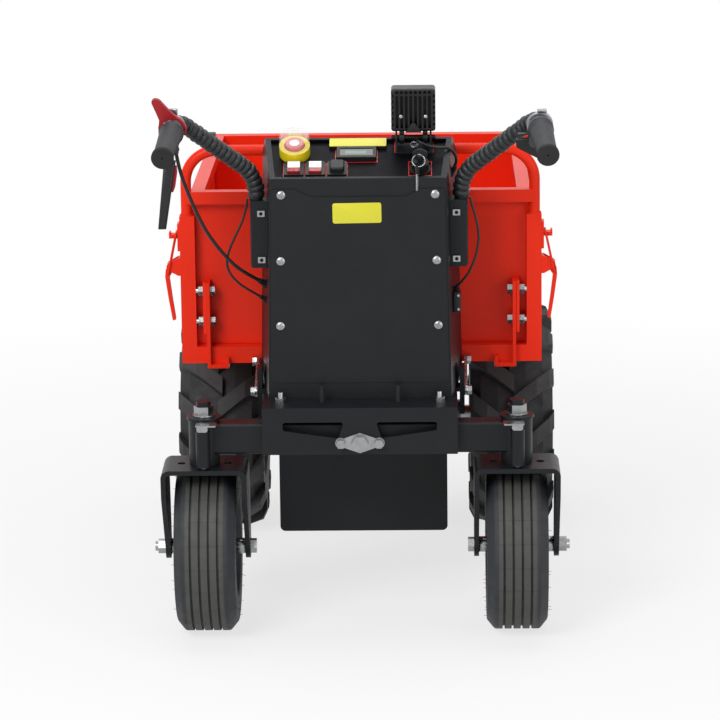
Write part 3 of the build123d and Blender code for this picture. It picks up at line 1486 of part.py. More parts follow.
# Handlebars: one bent tube each side, held in a saddle block on the box
bar_y = kingpin_y + bar_offset
bar_foot = Vector(bar_x, bar_y, bar_foot_z)
bar_bend = Vector(bar_x, bar_y, bar_bend_z)
bar_turn = Vector(bar_turn_x, kingpin_y + bar_turn_offset, bar_turn_z)
bar_end = Vector(bar_end_x, kingpin_y + bar_end_offset, bar_end_z)
bar_rise = (bar_turn - bar_bend).normalized()
grip_dir = (bar_end - bar_turn).normalized()
with BuildPart() as right_bar:
    with BuildLine() as bar_line:
        FilletPolyline(bar_foot, bar_bend, bar_turn, bar_end, radius=[bar_lower_bend_r, bar_upper_bend_r])
    with BuildSketch(Plane.XY.offset(bar_foot_z)):
        with Locations((bar_x, bar_y)):
            Circle(bar_r)
    sweep()
with BuildPart() as handle_bars:
    add(right_bar.part)
    mirror(right_bar.part, about=Plane.YZ)
save(handle_bars, "handle_bars")

# Ribbed loom sleeves from the saddles up to the perches: each rib is four rings on a ruled loft
bar_wire = bar_line.wire()
loom_start = loom_start_z - bar_foot_z
bend_normal = Vector(0, 0, 1).cross(bar_rise).normalized()
loom_end = bar_wire.length - perch_seat - perch_w / 2 - loom_end_gap
loom_length = loom_end - loom_start
rib_pitch = loom_length / loom_rib_count
ring_steps = ((0.0, loom_valley_r), (0.2, loom_valley_r), (0.35, loom_peak_r), (0.85, loom_peak_r))
with BuildPart() as right_loom:
    for rib in range(loom_rib_count):
        for step, ring_r in ring_steps:
            place = (loom_start + (rib + step) * rib_pitch) / bar_wire.length
            with BuildSketch(Plane(origin=bar_wire @ place, x_dir=bend_normal, z_dir=bar_wire % place)):
                Circle(ring_r)
    loft(ruled=True)
    add(right_bar.part, mode=Mode.SUBTRACT)
with BuildPart() as handle_looms:
    add(right_loom.part)
    mirror(right_loom.part, about=Plane.YZ)
save(handle_looms, "handle_looms")

# Grips: closed end flange, body and inner collar
grip_cap = 4.0
grip_flange_r = grip_r + 1.5
grip_flange_w = 7.0
grip_collar_r = grip_r + 4.0
grip_collar_w = 7.0
grip_across = (Vector(1, 0, 0) - grip_dir * grip_dir.X).normalized()
grip_end = Plane(origin=bar_end + grip_dir * grip_cap, x_dir=grip_across, z_dir=grip_dir)
with BuildPart() as right_grip:
    with BuildSketch(grip_end):
        Circle(grip_r)
    extrude(amount=-(grip_length + grip_cap))
    with BuildSketch(grip_end):
        Circle(grip_flange_r)
    extrude(amount=-grip_flange_w)
    with BuildSketch(grip_end.offset(-(grip_length + grip_cap))):
        Circle(grip_collar_r)
    extrude(amount=grip_collar_w)
    with BuildSketch(grip_end.offset(-grip_cap)):
        Circle(bar_r + running_gap)
    extrude(amount=-grip_length, mode=Mode.SUBTRACT)
with BuildPart() as handle_grips:
    add(right_grip.part)
    mirror(right_grip.part, about=Plane.YZ)
save(handle_grips, "handle_grips")

# Saddle blocks that carry the bars, trimmed to the sides of the box, with plated clamp bolts
bracket_top = loom_start_z - 3.0
with BuildPart() as right_bracket:
    with BuildSketch(Plane.XY.offset(bar_foot_z)):
        with Locations((bar_x + bracket_reach, bar_y)):
            Rectangle(6 * bracket_reach, bracket_w, align=(Align.MAX, Align.CENTER))
        with Locations((bar_x, bar_y)):
            Circle(bar_r + running_gap, mode=Mode.SUBTRACT)
    extrude(amount=bracket_top - bar_foot_z)
    split(bisect_by=side_plane(1, 0), keep=Keep.TOP)
with BuildPart() as handle_brackets:
    add(right_bracket.part)
    mirror(right_bracket.part, about=Plane.YZ)
save(handle_brackets, "handle_brackets")

# Lever perches: a clamp ring on each bar, with side pins and a lever clevis on the left,
# and a thumb lever fork on the right
perch_right = Plane(origin=bar_end - grip_dir * perch_seat, x_dir=grip_across, z_dir=grip_dir)
left_dir = Vector(-grip_dir.X, grip_dir.Y, grip_dir.Z)
left_across = (Vector(1, 0, 0) - left_dir * left_dir.X).normalized()
left_point = perch_right.origin
perch_left = Plane(origin=(-left_point.X, left_point.Y, left_point.Z), x_dir=left_across, z_dir=left_dir)
arch_clear = 4.5
arch_wall = 4.5
arch_inner_r = left_perch_r + arch_clear
arch_outer_r = arch_inner_r + arch_wall
arch_w = 8.0
arch_boss_r = 6.5
arch_corner_r = 2.0
brake_pivot_across = 3.0
brake_pivot_back = 6.0
brake_pivot_drop = 31.0
brake_pivot = perch_left.origin - Vector(brake_pivot_across, brake_pivot_back, brake_pivot_drop)
brake_hub_r = 8.0
brake_half_w = 8.5
clevis_t = 3.0
clevis_arm = 30.0
clevis_arm_set = 6.0
throttle_pivot = (-13.0, -25.0)
throttle_w = 10.0
throttle_hub_r = 7.0
perch_cap_w = 22.0
perch_cap_h = 3.0
with BuildPart() as lever_perches:
    for perch, ring_r in ((perch_left, left_perch_r), (perch_right, perch_r)):
        with BuildSketch(perch.offset(-perch_w / 2)):
            Circle(ring_r)
        extrude(amount=perch_w)
    with BuildSketch(perch_right.offset(-perch_w / 2)):
        with Locations((0, perch_r)):
            Rectangle(perch_cap_w, 2 * perch_cap_h)
    extrude(amount=perch_w)
    pin_line = Plane(origin=perch_left.origin, x_dir=left_dir, z_dir=left_across)
    with BuildSketch(pin_line.offset(-arch_outer_r)):
        Circle(lever_pin_r)
    extrude(amount=2 * arch_outer_r)
    for sign in (-1, 1):
        cheek_x = brake_pivot.X + sign * (brake_half_w + side_gap)
        with BuildSketch(wheel_plane(cheek_x, brake_pivot.Y, brake_pivot.Z)):
            Circle(brake_hub_r)
            with Locations((clevis_arm_set, clevis_arm / 2)):
                Rectangle(2 * brake_hub_r - 2, clevis_arm)
        extrude(amount=sign * clevis_t)
    with BuildSketch(wheel_plane(brake_pivot.X - brake_half_w - side_gap, brake_pivot.Y, brake_pivot.Z)):
        Circle(lever_pin_r)
    extrude(amount=2 * (brake_half_w + side_gap))
    for sign in (-1, 1):
        with BuildSketch(perch_right.offset(sign * (throttle_w / 2 + side_gap))):
            with Locations(throttle_pivot):
                Circle(throttle_hub_r)
            Circle(perch_r - 2)
            make_hull()
        extrude(amount=sign * (perch_w / 2 - throttle_w / 2 - side_gap))
    with BuildSketch(perch_right.offset(-throttle_w / 2 - side_gap)):
        with Locations(throttle_pivot):
            Circle(lever_pin_r)
    extrude(amount=throttle_w + 2 * side_gap)
    for perch in (perch_left, perch_right):
        with BuildSketch(perch.offset(-perch_w)):
            Circle(bar_r + running_gap)
        extrude(amount=2 * perch_w, mode=Mode.SUBTRACT)
save(lever_perches, "lever_perches")

# Brake lever: hub on the clevis pin, tapering blade hanging below the grip
blade_lean_across = 16.0
blade_lean_back = 14.0
blade_drop = 30.0
blade_tip_w = 13.0
blade_tip_t = 9.0
blade_root_w = 19.0
blade_neck_w = 13.0
blade_root_t = 11.0
blade_round = 4.0
blade_set = 2.0
blade_root_z = brake_pivot.Z - brake_hub_r - 10.0
blade_lean = -Vector(blade_lean_across, blade_lean_back, brake_lever_length + blade_drop)
with BuildPart() as brake_lever:
    with BuildSketch(wheel_plane(brake_pivot.X - brake_half_w, brake_pivot.Y, brake_pivot.Z)):
        Circle(brake_hub_r - 1)
    extrude(amount=2 * brake_half_w)
    blade_tip = brake_pivot + blade_lean
    with BuildSketch(Plane.XY.offset(blade_tip.Z)):
        with Locations((blade_tip.X, blade_tip.Y)):
            RectangleRounded(blade_tip_w, blade_tip_t, blade_round)
    with BuildSketch(Plane.XY.offset(blade_root_z)):
        with Locations((brake_pivot.X - blade_set, brake_pivot.Y - blade_set)):
            RectangleRounded(blade_root_w, blade_root_t, blade_round)
    loft()
    with BuildSketch(Plane.XY.offset(blade_root_z)):
        with Locations((brake_pivot.X - blade_set, brake_pivot.Y - blade_set)):
            RectangleRounded(blade_neck_w, blade_root_t, blade_round)
    extrude(amount=brake_pivot.Z - blade_set - blade_root_z)
    with BuildSketch(wheel_plane(brake_pivot.X - 2 * brake_half_w, brake_pivot.Y, brake_pivot.Z)):
        Circle(lever_pin_r + running_gap)
    extrude(amount=4 * brake_half_w, mode=Mode.SUBTRACT)
save(brake_lever, "brake_lever")

# Parking lever: an arch over the perch with a thumb blade, turning on the perch's side pins
with BuildPart() as parking_lever:
    with BuildSketch(perch_left.offset(-arch_w / 2)):
        Circle(arch_outer_r)
        with Locations((0, -arch_outer_r)):
            Rectangle(3 * arch_outer_r, 2 * arch_outer_r, mode=Mode.SUBTRACT)
        Polygon(
            (-arch_outer_r, 0),
            (-arch_outer_r + arch_corner_r, arch_inner_r),
            (-parking_lean - parking_tip_w / 2, parking_rise - parking_tip_w / 2),
            (-parking_lean - parking_tip_w / 4, parking_rise),
            (-parking_lean + parking_tip_w / 2, parking_rise - arch_corner_r),
            (arch_inner_r, arch_outer_r / 2),
            align=None,
        )
        for sign in (-1, 1):
            with Locations((sign * (arch_inner_r + arch_outer_r) / 2, 0)):
                RectangleRounded(arch_wall, 2 * arch_boss_r, arch_corner_r)
        Circle(arch_inner_r, mode=Mode.SUBTRACT)
    extrude(amount=arch_w)
    with BuildSketch(pin_line.offset(-2 * arch_outer_r)):
        Circle(lever_pin_r + running_gap)
    extrude(amount=4 * arch_outer_r, mode=Mode.SUBTRACT)
save(parking_lever, "parking_lever")

# Thumb throttle: paddle on the right perch's pin
with BuildPart() as throttle_lever:
    with BuildSketch(perch_right.offset(-throttle_w / 2)):
        with Locations(throttle_pivot):
            Circle(throttle_hub_r)
        Polygon(
            (throttle_pivot[0] - 26, throttle_pivot[1] + 5),
            (throttle_pivot[0] - 4, throttle_pivot[1] + 5),
            (throttle_pivot[0] + 6, throttle_pivot[1] - 4),
            (throttle_pivot[0] + 8, throttle_pivot[1] - 27),
            (throttle_pivot[0] - 3, throttle_pivot[1] - 21),
            (throttle_pivot[0] - 25, throttle_pivot[1] - 8),
            align=None,
        )
        with Locations(throttle_pivot):
            Circle(lever_pin_r + running_gap, mode=Mode.SUBTRACT)
    extrude(amount=throttle_w)
save(throttle_lever, "throttle_lever")


def cable_radii(points):
    """Largest bend at each corner that the shorter of its two runs leaves room for."""
    radii = []
    for before, here, after in zip(points, points[1:], points[2:]):
        run_in = Vector(*here) - Vector(*before)
        run_out = Vector(*after) - Vector(*here)
        half_turn = radians(run_in.get_angle(run_out)) / 2
        radii.append(0.45 * min(run_in.length, run_out.length) / tan(half_turn))
    return radii


# Cables from the handlebars and the lamp to glands on the sides of the box
brake_route = [
    (-290, -20, 829),
    (-287, -12, 797),
    (-273, 0, 747),
    (-249, 28, 680),
    (-220, 54, 632),
    (-191, 75, 598),
    (-152, 97, 573),
]
left_route = [
    (-181, 86, 719.5),
    (-186, 85, 690),
    (-201, 82, 660),
    (-214, 80, 632),
    (-218, 80, 608),
    (-207, 82, 586),
    (-184, 88, 566),
    (-150, 97, 545),
]
right_route = [
    (181, 86, 719.5),
    (189, 84, 692),
    (196, 82, 660),
    (193, 81, 630),
    (184, 83, 603),
    (171, 88, 580),
    (150, 96, 558),
]
lamp_route = [
    (94, 102.1, 813),
    (97, 90, 811),
    (112, 89, 803.5),
    (130, 93, 799),
    (146, 99, 798.5),
    (158, 107, 787),
    (161, 113, 768),
    (148, 115, 750),
]
gland_r = 3.0
gland_l = 18.0
inlet_w = 12.0
inlet_l = 30.0
inlet_h = 34.0
inlet_z = 545.0
cables = []
for route, wire_r in (
    (brake_route, brake_cable_r),
    (left_route, switch_cable_r),
    (right_route, switch_cable_r),
    (lamp_route, lamp_cable_r),
):
    points = [(x, kingpin_y + y, z) for x, y, z in route]
    bends = cable_radii(points)
    with BuildPart() as cable:
        with BuildLine() as cable_line:
            FilletPolyline(*points, radius=bends)
        run = cable_line.wire()
        with BuildSketch(Plane(origin=run @ 0, z_dir=run % 0)):
            Circle(wire_r)
        sweep()
        tube_volume = cable.part.volume
        with BuildSketch(Plane(origin=run @ 1, z_dir=run % 1)):
            Circle(wire_r + gland_r)
        extrude(amount=-gland_l)
        split(bisect_by=side_plane(1 if points[0][0] > 0 else -1, 0), keep=Keep.TOP)
    plain_volume = pi * wire_r**2 * run.length
    print("cable bends", [round(bend) for bend in bends])
    print("tube over plain", round(tube_volume / plain_volume, 3))
    cables.append(cable.part)

with BuildPart() as cable_inlet:
    with BuildSketch(Plane.XY.offset(inlet_z - inlet_h / 2)):
        with Locations((side_x(bar_y, inlet_z), bar_y)):
            RectangleRounded(2 * inlet_w, inlet_l, 3)
    extrude(amount=inlet_h)
    split(bisect_by=side_plane(1, 0), keep=Keep.TOP)

with BuildPart() as control_cables:
    for cable_part in cables:
        add(cable_part)
    add(cable_inlet.part)
save(control_cables, "control_cables")

# Inside the box: two batteries side by side, with the motor controller on top of them
battery_w = 130.0
battery_d = 118.0
battery_h = 165.0
battery_gap = 6.0
terminal_r = 7.0
terminal_h = 10.0
controller_w = 150.0
controller_d = 80.0
controller_h = 46.0
battery_y = (box_rear_y + box_front_y) / 2 + 8
with BuildPart() as batteries_and_controller:
    with BuildSketch(Plane.XY.offset(chassis_top)):
        with Locations((0, battery_y)):
            with GridLocations(battery_w + battery_gap, 0, 2, 1):
                RectangleRounded(battery_w, battery_d, 4)
    extrude(amount=battery_h)
    with BuildSketch(Plane.XY.offset(chassis_top + battery_h)):
        with Locations((0, battery_y + battery_d / 2 - 2 * terminal_r)):
            with GridLocations(battery_w / 2 + 3, 0, 4, 1):
                Circle(terminal_r)
    extrude(amount=terminal_h)
    with BuildSketch(Plane.XY.offset(chassis_top + battery_h + side_gap)):
        with Locations((0, battery_y - battery_d / 2 + controller_d / 2 + 4)):
            Rectangle(controller_w, controller_d)
    extrude(amount=controller_h)
save(batteries_and_controller, "batteries_and_controller")

# Plated hardware: box bolts, tray hold-down links with their pins, and the clamp nuts of the bar saddles
base_bolt_x = 129.0
link_t = 5.0
clamp_nut_h = 5.0
link_r = 9.0
link_low = (catch_ear_y, chassis_top - 8)
link_high = (tray_rear_y - link_r - 3, floor_bottom + 6)
with BuildPart() as chassis_hardware:
    for sign in (-1, 1):
        with BuildSketch(Plane.XY.offset(chassis_top)):
            with Locations((sign * base_bolt_x, kingpin_y)):
                RegularPolygon(9, 6)
        extrude(amount=8)
        with BuildSketch(Plane.XY.offset(chassis_top + 8)):
            with Locations((sign * base_bolt_x, kingpin_y)):
                Circle(4)
        extrude(amount=9)
        link_x = sign * (catch_ear_x + catch_ear_t)
        with BuildSketch(wheel_plane(link_x, 0, 0)):
            with Locations(link_low, link_high):
                Circle(link_r)
            make_hull()
        extrude(amount=sign * link_t)
        with BuildSketch(wheel_plane(link_x + sign * link_t, 0, 0)):
            with Locations(link_low, link_high):
                RegularPolygon(8, 6)
        extrude(amount=sign * 7)
    clamp_face_y = bar_y - bracket_w / 2
    with BuildSketch(Plane.XZ.offset(-clamp_face_y)):
        for sign in (-1, 1):
            for nut_z in (bracket_top - clamp_inset, bar_foot_z + clamp_inset - clamp_bolt_r):
                with Locations((sign * (bar_x - bracket_reach), nut_z)):
                    RectangleRounded(2 * clamp_bolt_r, 2 * clamp_bolt_r - 2, 1)
                    Circle(clamp_bolt_r / 2, mode=Mode.SUBTRACT)
    extrude(amount=clamp_nut_h)
save(chassis_hardware, "chassis_hardware")
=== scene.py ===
import math

import bmesh
import bpy
from mathutils import Matrix, Vector


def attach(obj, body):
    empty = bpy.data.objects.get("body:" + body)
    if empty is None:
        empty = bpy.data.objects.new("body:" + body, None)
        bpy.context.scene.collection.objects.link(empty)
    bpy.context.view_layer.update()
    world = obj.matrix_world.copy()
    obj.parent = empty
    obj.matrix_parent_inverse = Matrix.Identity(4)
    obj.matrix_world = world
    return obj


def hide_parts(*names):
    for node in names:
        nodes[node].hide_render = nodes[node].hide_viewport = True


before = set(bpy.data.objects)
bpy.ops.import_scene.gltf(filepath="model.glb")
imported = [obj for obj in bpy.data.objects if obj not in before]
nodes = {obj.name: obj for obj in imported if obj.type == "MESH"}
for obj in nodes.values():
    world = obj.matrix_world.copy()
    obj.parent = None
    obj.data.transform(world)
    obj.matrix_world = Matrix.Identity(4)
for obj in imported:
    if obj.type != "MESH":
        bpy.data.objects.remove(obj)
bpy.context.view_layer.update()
scene = bpy.context.scene
print("frame loaded:", len(nodes), "nodes")

# places that many pieces share, in metres
machine = {
    "kingpinY": -0.35973,
    "kingpinX": 0.255,
    "casterAxleY": -0.30973,
    "casterAxleZ": 0.140,
    "driveX": 0.258,
    "driveAxleY": 0.31527,
    "driveAxleZ": 0.200,
    "side": {"left": -1, "right": 1},
}
leftSide = machine["side"]["left"]
rightSide = machine["side"]["right"]
bothSides = (leftSide, rightSide)

view = {
    "place": (0.1209, -6.05563, 1.8907),
    "tilt": 75.979,
    "pan": 1.208,
    "roll": -0.7,
    "lens": 181.0,
    "sensor": 36.0,
    "clipEnd": 100.0,
}


def turned(degrees, axis):
    return Matrix.Rotation(math.radians(degrees), 4, axis)


def makeCamera():
    data = bpy.data.cameras.new("rearView")
    data.lens = view["lens"]
    data.sensor_width = view["sensor"]
    data.clip_end = view["clipEnd"]
    camera = bpy.data.objects.new("rearView", data)
    camera.location = view["place"]
    turn = turned(view["pan"], "Z") @ turned(view["tilt"], "X") @ turned(view["roll"], "Z")
    camera.rotation_euler = turn.to_euler()
    scene.collection.objects.link(camera)
    scene.camera = camera


makeCamera()
print("camera set")

# the slope that the control panel lies on: u across, v up the slope, h out of it
slope = {"nearY": 0.040, "nearZ": 0.760, "run": 0.092, "rise": 0.0503, "recess": 0.006}
slopeAngle = math.atan2(slope["rise"], slope["run"])
slopeUp = Vector((0, math.cos(slopeAngle), math.sin(slopeAngle)))
slopeOut = Vector((0, -math.sin(slopeAngle), math.cos(slopeAngle)))
slopeMiddle = Vector((
    0,
    machine["kingpinY"] + slope["nearY"] + slope["run"] / 2,
    slope["nearZ"] + slope["rise"] / 2,
)) - slopeOut * slope["recess"]


def onPanel(u, v, h=0.0):
    spot = slopeMiddle + Vector((u, 0, 0)) + slopeUp * v + slopeOut * h
    return Matrix.Translation(spot) @ Matrix.Rotation(slopeAngle, 4, "X")


# the leaning rear face of the battery box: u across, z up, h out of the face
rearFace = {"foot": 0.024, "lean": 0.016, "bottom": 0.398, "top": 0.760, "halfWidth": 0.1495,
            "narrowing": 0.0065, "splay": 0.1175, "coverT": 0.003}
faceHeight = rearFace["top"] - rearFace["bottom"]
faceAngle = math.atan2(rearFace["lean"], faceHeight)
faceNarrow = (rearFace["narrowing"] + rearFace["splay"] * rearFace["lean"]) / faceHeight


def faceY(z):
    return machine["kingpinY"] + rearFace["foot"] + (z - rearFace["bottom"]) * rearFace["lean"] / faceHeight


def onRearFace(u, z, h=0.0):
    turn = Matrix.Rotation(math.pi / 2 - faceAngle, 4, "X")
    return Matrix.Translation((u, faceY(z), z)) @ turn @ Matrix.Translation((0, 0, h))


def boxHalfWidth(y, z):
    along = y - machine["kingpinY"] - rearFace["foot"]
    return rearFace["halfWidth"] + rearFace["splay"] * along - faceNarrow * (z - rearFace["bottom"])


# shader helpers: feed links a node's output to a socket, or sets a constant on it, a tuple being a colour
def feed(tree, value, socket):
    if hasattr(value, "is_linked"):
        tree.links.new(value, socket)
    elif isinstance(value, tuple):
        socket.default_value = (*value, 1)
    else:
        socket.default_value = value


def newGroup(name, values, results):
    group = bpy.data.node_groups.new(name, "ShaderNodeTree")
    group.interface.new_socket("Vector", in_out="INPUT", socket_type="NodeSocketVector")
    for label, value in values.items():
        kind = "NodeSocketColor" if isinstance(value, tuple) else "NodeSocketFloat"
        feed(group, value, group.interface.new_socket(label, in_out="INPUT", socket_type=kind))
    for label in results:
        kind = "NodeSocketColor" if label == "Colour" else "NodeSocketFloat"
        group.interface.new_socket(label, in_out="OUTPUT", socket_type=kind)
    return group, group.nodes.new("NodeGroupInput").outputs, group.nodes.new("NodeGroupOutput").inputs


def mathNode(tree, operation, first, second=None, clamp=False):
    node = tree.nodes.new("ShaderNodeMath")
    node.operation = operation
    node.use_clamp = clamp
    feed(tree, first, node.inputs[0])
    if second is not None:
        feed(tree, second, node.inputs[1])
    return node.outputs[0]


def rangeNode(tree, value, fromLow, fromHigh, toLow=0.0, toHigh=1.0):
    node = tree.nodes.new("ShaderNodeMapRange")
    for label, number in zip(("From Min", "From Max", "To Min", "To Max"), (fromLow, fromHigh, toLow, toHigh)):
        node.inputs[label].default_value = number
    feed(tree, value, node.inputs["Value"])
    return node.outputs[0]


def mixColour(tree, factor, first, second):
    node = tree.nodes.new("ShaderNodeMix")
    node.data_type = "RGBA"
    for number, value in ((0, factor), (6, first), (7, second)):
        feed(tree, value, node.inputs[number])
    return node.outputs[2]


def noiseNode(tree, vector, scale, detail, roughness=0.55):
    node = tree.nodes.new("ShaderNodeTexNoise")
    node.inputs["Detail"].default_value = detail
    node.inputs["Roughness"].default_value = roughness
    feed(tree, scale, node.inputs["Scale"])
    feed(tree, vector, node.inputs["Vector"])
    return node.outputs["Fac"]


def mapped(tree, vector, location=(0, 0, 0), rotation=(0, 0, 0), scale=(1, 1, 1)):
    node = tree.nodes.new("ShaderNodeMapping")
    node.inputs["Location"].default_value = location
    node.inputs["Rotation"].default_value = rotation
    node.inputs["Scale"].default_value = scale
    feed(tree, vector, node.inputs["Vector"])
    return node.outputs["Vector"]


def splitNode(tree, vector):
    node = tree.nodes.new("ShaderNodeSeparateXYZ")
    feed(tree, vector, node.inputs[0])
    return node.outputs


def lengthNode(tree, vector):
    node = tree.nodes.new("ShaderNodeVectorMath")
    node.operation = "LENGTH"
    feed(tree, vector, node.inputs[0])
    return node.outputs["Value"]


# shared surface effects, with the noise levels between which scuffs and dust fade in
wear = {"streakTurn": (0.3, 0.5, 0.2), "streakStretch": (1, 9, 1.6), "streakFade": (0.6, 0.72), "patchScale": 7.0,
        "patchFade": (0.5, 0.66), "cloudFade": (0.42, 0.75), "speckScale": 420.0, "speckFade": (0.35, 0.7),
        "speckLeast": 0.4}


def makeMottle():
    values = {"Colour": (0.5, 0.5, 0.5), "Scale": 12.0, "Amount": 0.1}
    group, given, result = newGroup("colourMottle", values, ["Colour"])
    broad = noiseNode(group, given["Vector"], given["Scale"], detail=4.0)
    spread = mathNode(group, "SUBTRACT", broad, 0.5)
    shade = mathNode(group, "MULTIPLY", spread, given["Amount"])
    lift = mathNode(group, "ADD", mathNode(group, "MULTIPLY", shade, 2.0), 1.0)
    scaled = group.nodes.new("ShaderNodeVectorMath")
    scaled.operation = "SCALE"
    feed(group, given["Colour"], scaled.inputs[0])
    feed(group, lift, scaled.inputs["Scale"])
    feed(group, scaled.outputs[0], result["Colour"])
    return group


def makeGrain():
    group, given, result = newGroup("fineGrain", {"Scale": 900.0, "Wave": 60.0}, ["Height", "Spread"])
    fine = noiseNode(group, given["Vector"], given["Scale"], detail=2.0)
    broad = noiseNode(group, given["Vector"], given["Wave"], detail=3.0)
    feed(group, mathNode(group, "ADD", fine, mathNode(group, "MULTIPLY", broad, 0.5)), result["Height"])
    feed(group, broad, result["Spread"])
    return group


def makeScuffs():
    group, given, result = newGroup("scuffs", {"Scale": 40.0, "Cover": 0.3}, ["Mask"])
    drawn = mapped(group, given["Vector"], rotation=wear["streakTurn"], scale=wear["streakStretch"])
    streak = noiseNode(group, drawn, given["Scale"], detail=5.0, roughness=0.7)
    patch = noiseNode(group, given["Vector"], wear["patchScale"], detail=2.0)
    line = rangeNode(group, streak, *wear["streakFade"])
    mask = mathNode(group, "MULTIPLY", line, rangeNode(group, patch, *wear["patchFade"]))
    feed(group, mathNode(group, "MULTIPLY", mask, given["Cover"], clamp=True), result["Mask"])
    return group


def makeDust():
    group, given, result = newGroup("settledDust", {"Scale": 14.0, "Cover": 0.2}, ["Mask"])
    cloud = noiseNode(group, given["Vector"], given["Scale"], detail=6.0, roughness=0.65)
    speck = noiseNode(group, given["Vector"], wear["speckScale"], detail=2.0)
    soft = rangeNode(group, cloud, *wear["cloudFade"])
    mask = mathNode(group, "MULTIPLY", soft, rangeNode(group, speck, *wear["speckFade"], wear["speckLeast"]))
    feed(group, mathNode(group, "MULTIPLY", mask, given["Cover"], clamp=True), result["Mask"])
    return group


effects = {"mottle": makeMottle(), "grain": makeGrain(), "scuffs": makeScuffs(), "dust": makeDust()}
print("surface effects:", ", ".join(effects))


def useEffect(tree, name, vector, **values):
    node = tree.nodes.new("ShaderNodeGroup")
    node.node_tree = effects[name]
    feed(tree, vector, node.inputs["Vector"])
    for label, value in values.items():
        feed(tree, value, node.inputs[label])
    return node.outputs


def startMaterial(name):
    material = bpy.data.materials.new(name)
    material.use_nodes = True
    tree = material.node_tree
    coords = tree.nodes.new("ShaderNodeTexCoord").outputs["Object"]
    return material, tree, coords, tree.nodes["Principled BSDF"]


def addBump(tree, height, shader, strength, distance):
    bump = tree.nodes.new("ShaderNodeBump")
    bump.inputs["Strength"].default_value = strength
    bump.inputs["Distance"].default_value = distance
    feed(tree, height, bump.inputs["Height"])
    feed(tree, bump.outputs["Normal"], shader.inputs["Normal"])


# the noise levels that roughness is spread over
noiseSpan = (0.3, 0.7)


def finishMaterial(name, values, tint=None):
    material, tree, coords, shader = startMaterial(name)
    base = tint(tree, coords) if tint else values["colour"]
    colour = useEffect(tree, "mottle", coords, Colour=base, Scale=values["mottleScale"], Amount=values["mottle"])[0]
    grain = useEffect(tree, "grain", coords, Scale=values["grainScale"], Wave=values["waveScale"])
    scuff = useEffect(tree, "scuffs", coords, Scale=values["scuffScale"], Cover=values["scuff"])[0]
    dust = useEffect(tree, "dust", coords, Scale=values["dustScale"], Cover=values["dust"])[0]
    colour = mixColour(tree, scuff, colour, values["scuffColour"])
    colour = mixColour(tree, dust, colour, values["dustColour"])
    feed(tree, colour, shader.inputs["Base Color"])
    rough = rangeNode(tree, grain["Spread"], *noiseSpan, values["rough"] - values["roughSpread"],
                      values["rough"] + values["roughSpread"])
    rough = mathNode(tree, "ADD", rough, mathNode(tree, "MULTIPLY", dust, values["dustRough"]), clamp=True)
    feed(tree, rough, shader.inputs["Roughness"])
    addBump(tree, grain["Height"], shader, values["bump"], values["bumpDepth"])
    shader.inputs["Metallic"].default_value = values["metal"]
    shader.inputs["Coat Weight"].default_value = values["coat"]
    shader.inputs["Coat Roughness"].default_value = values["coatRough"]
    shader.inputs["Specular IOR Level"].default_value = values["specular"]
    return material


plainLook = {
    "colour": (0.03, 0.03, 0.03), "mottle": 0.1, "mottleScale": 9.0, "grainScale": 900.0, "waveScale": 60.0,
    "scuff": 0.0, "scuffScale": 45.0, "scuffColour": (0.3, 0.3, 0.3), "dust": 0.04, "dustScale": 12.0,
    "dustColour": (0.35, 0.33, 0.3), "dustRough": 0.25, "rough": 0.4, "roughSpread": 0.06, "bump": 0.08,
    "bumpDepth": 0.0004, "metal": 0.0, "coat": 0.0, "coatRough": 0.1, "specular": 0.5,
}


def look(**changes):
    return {**plainLook, **changes}


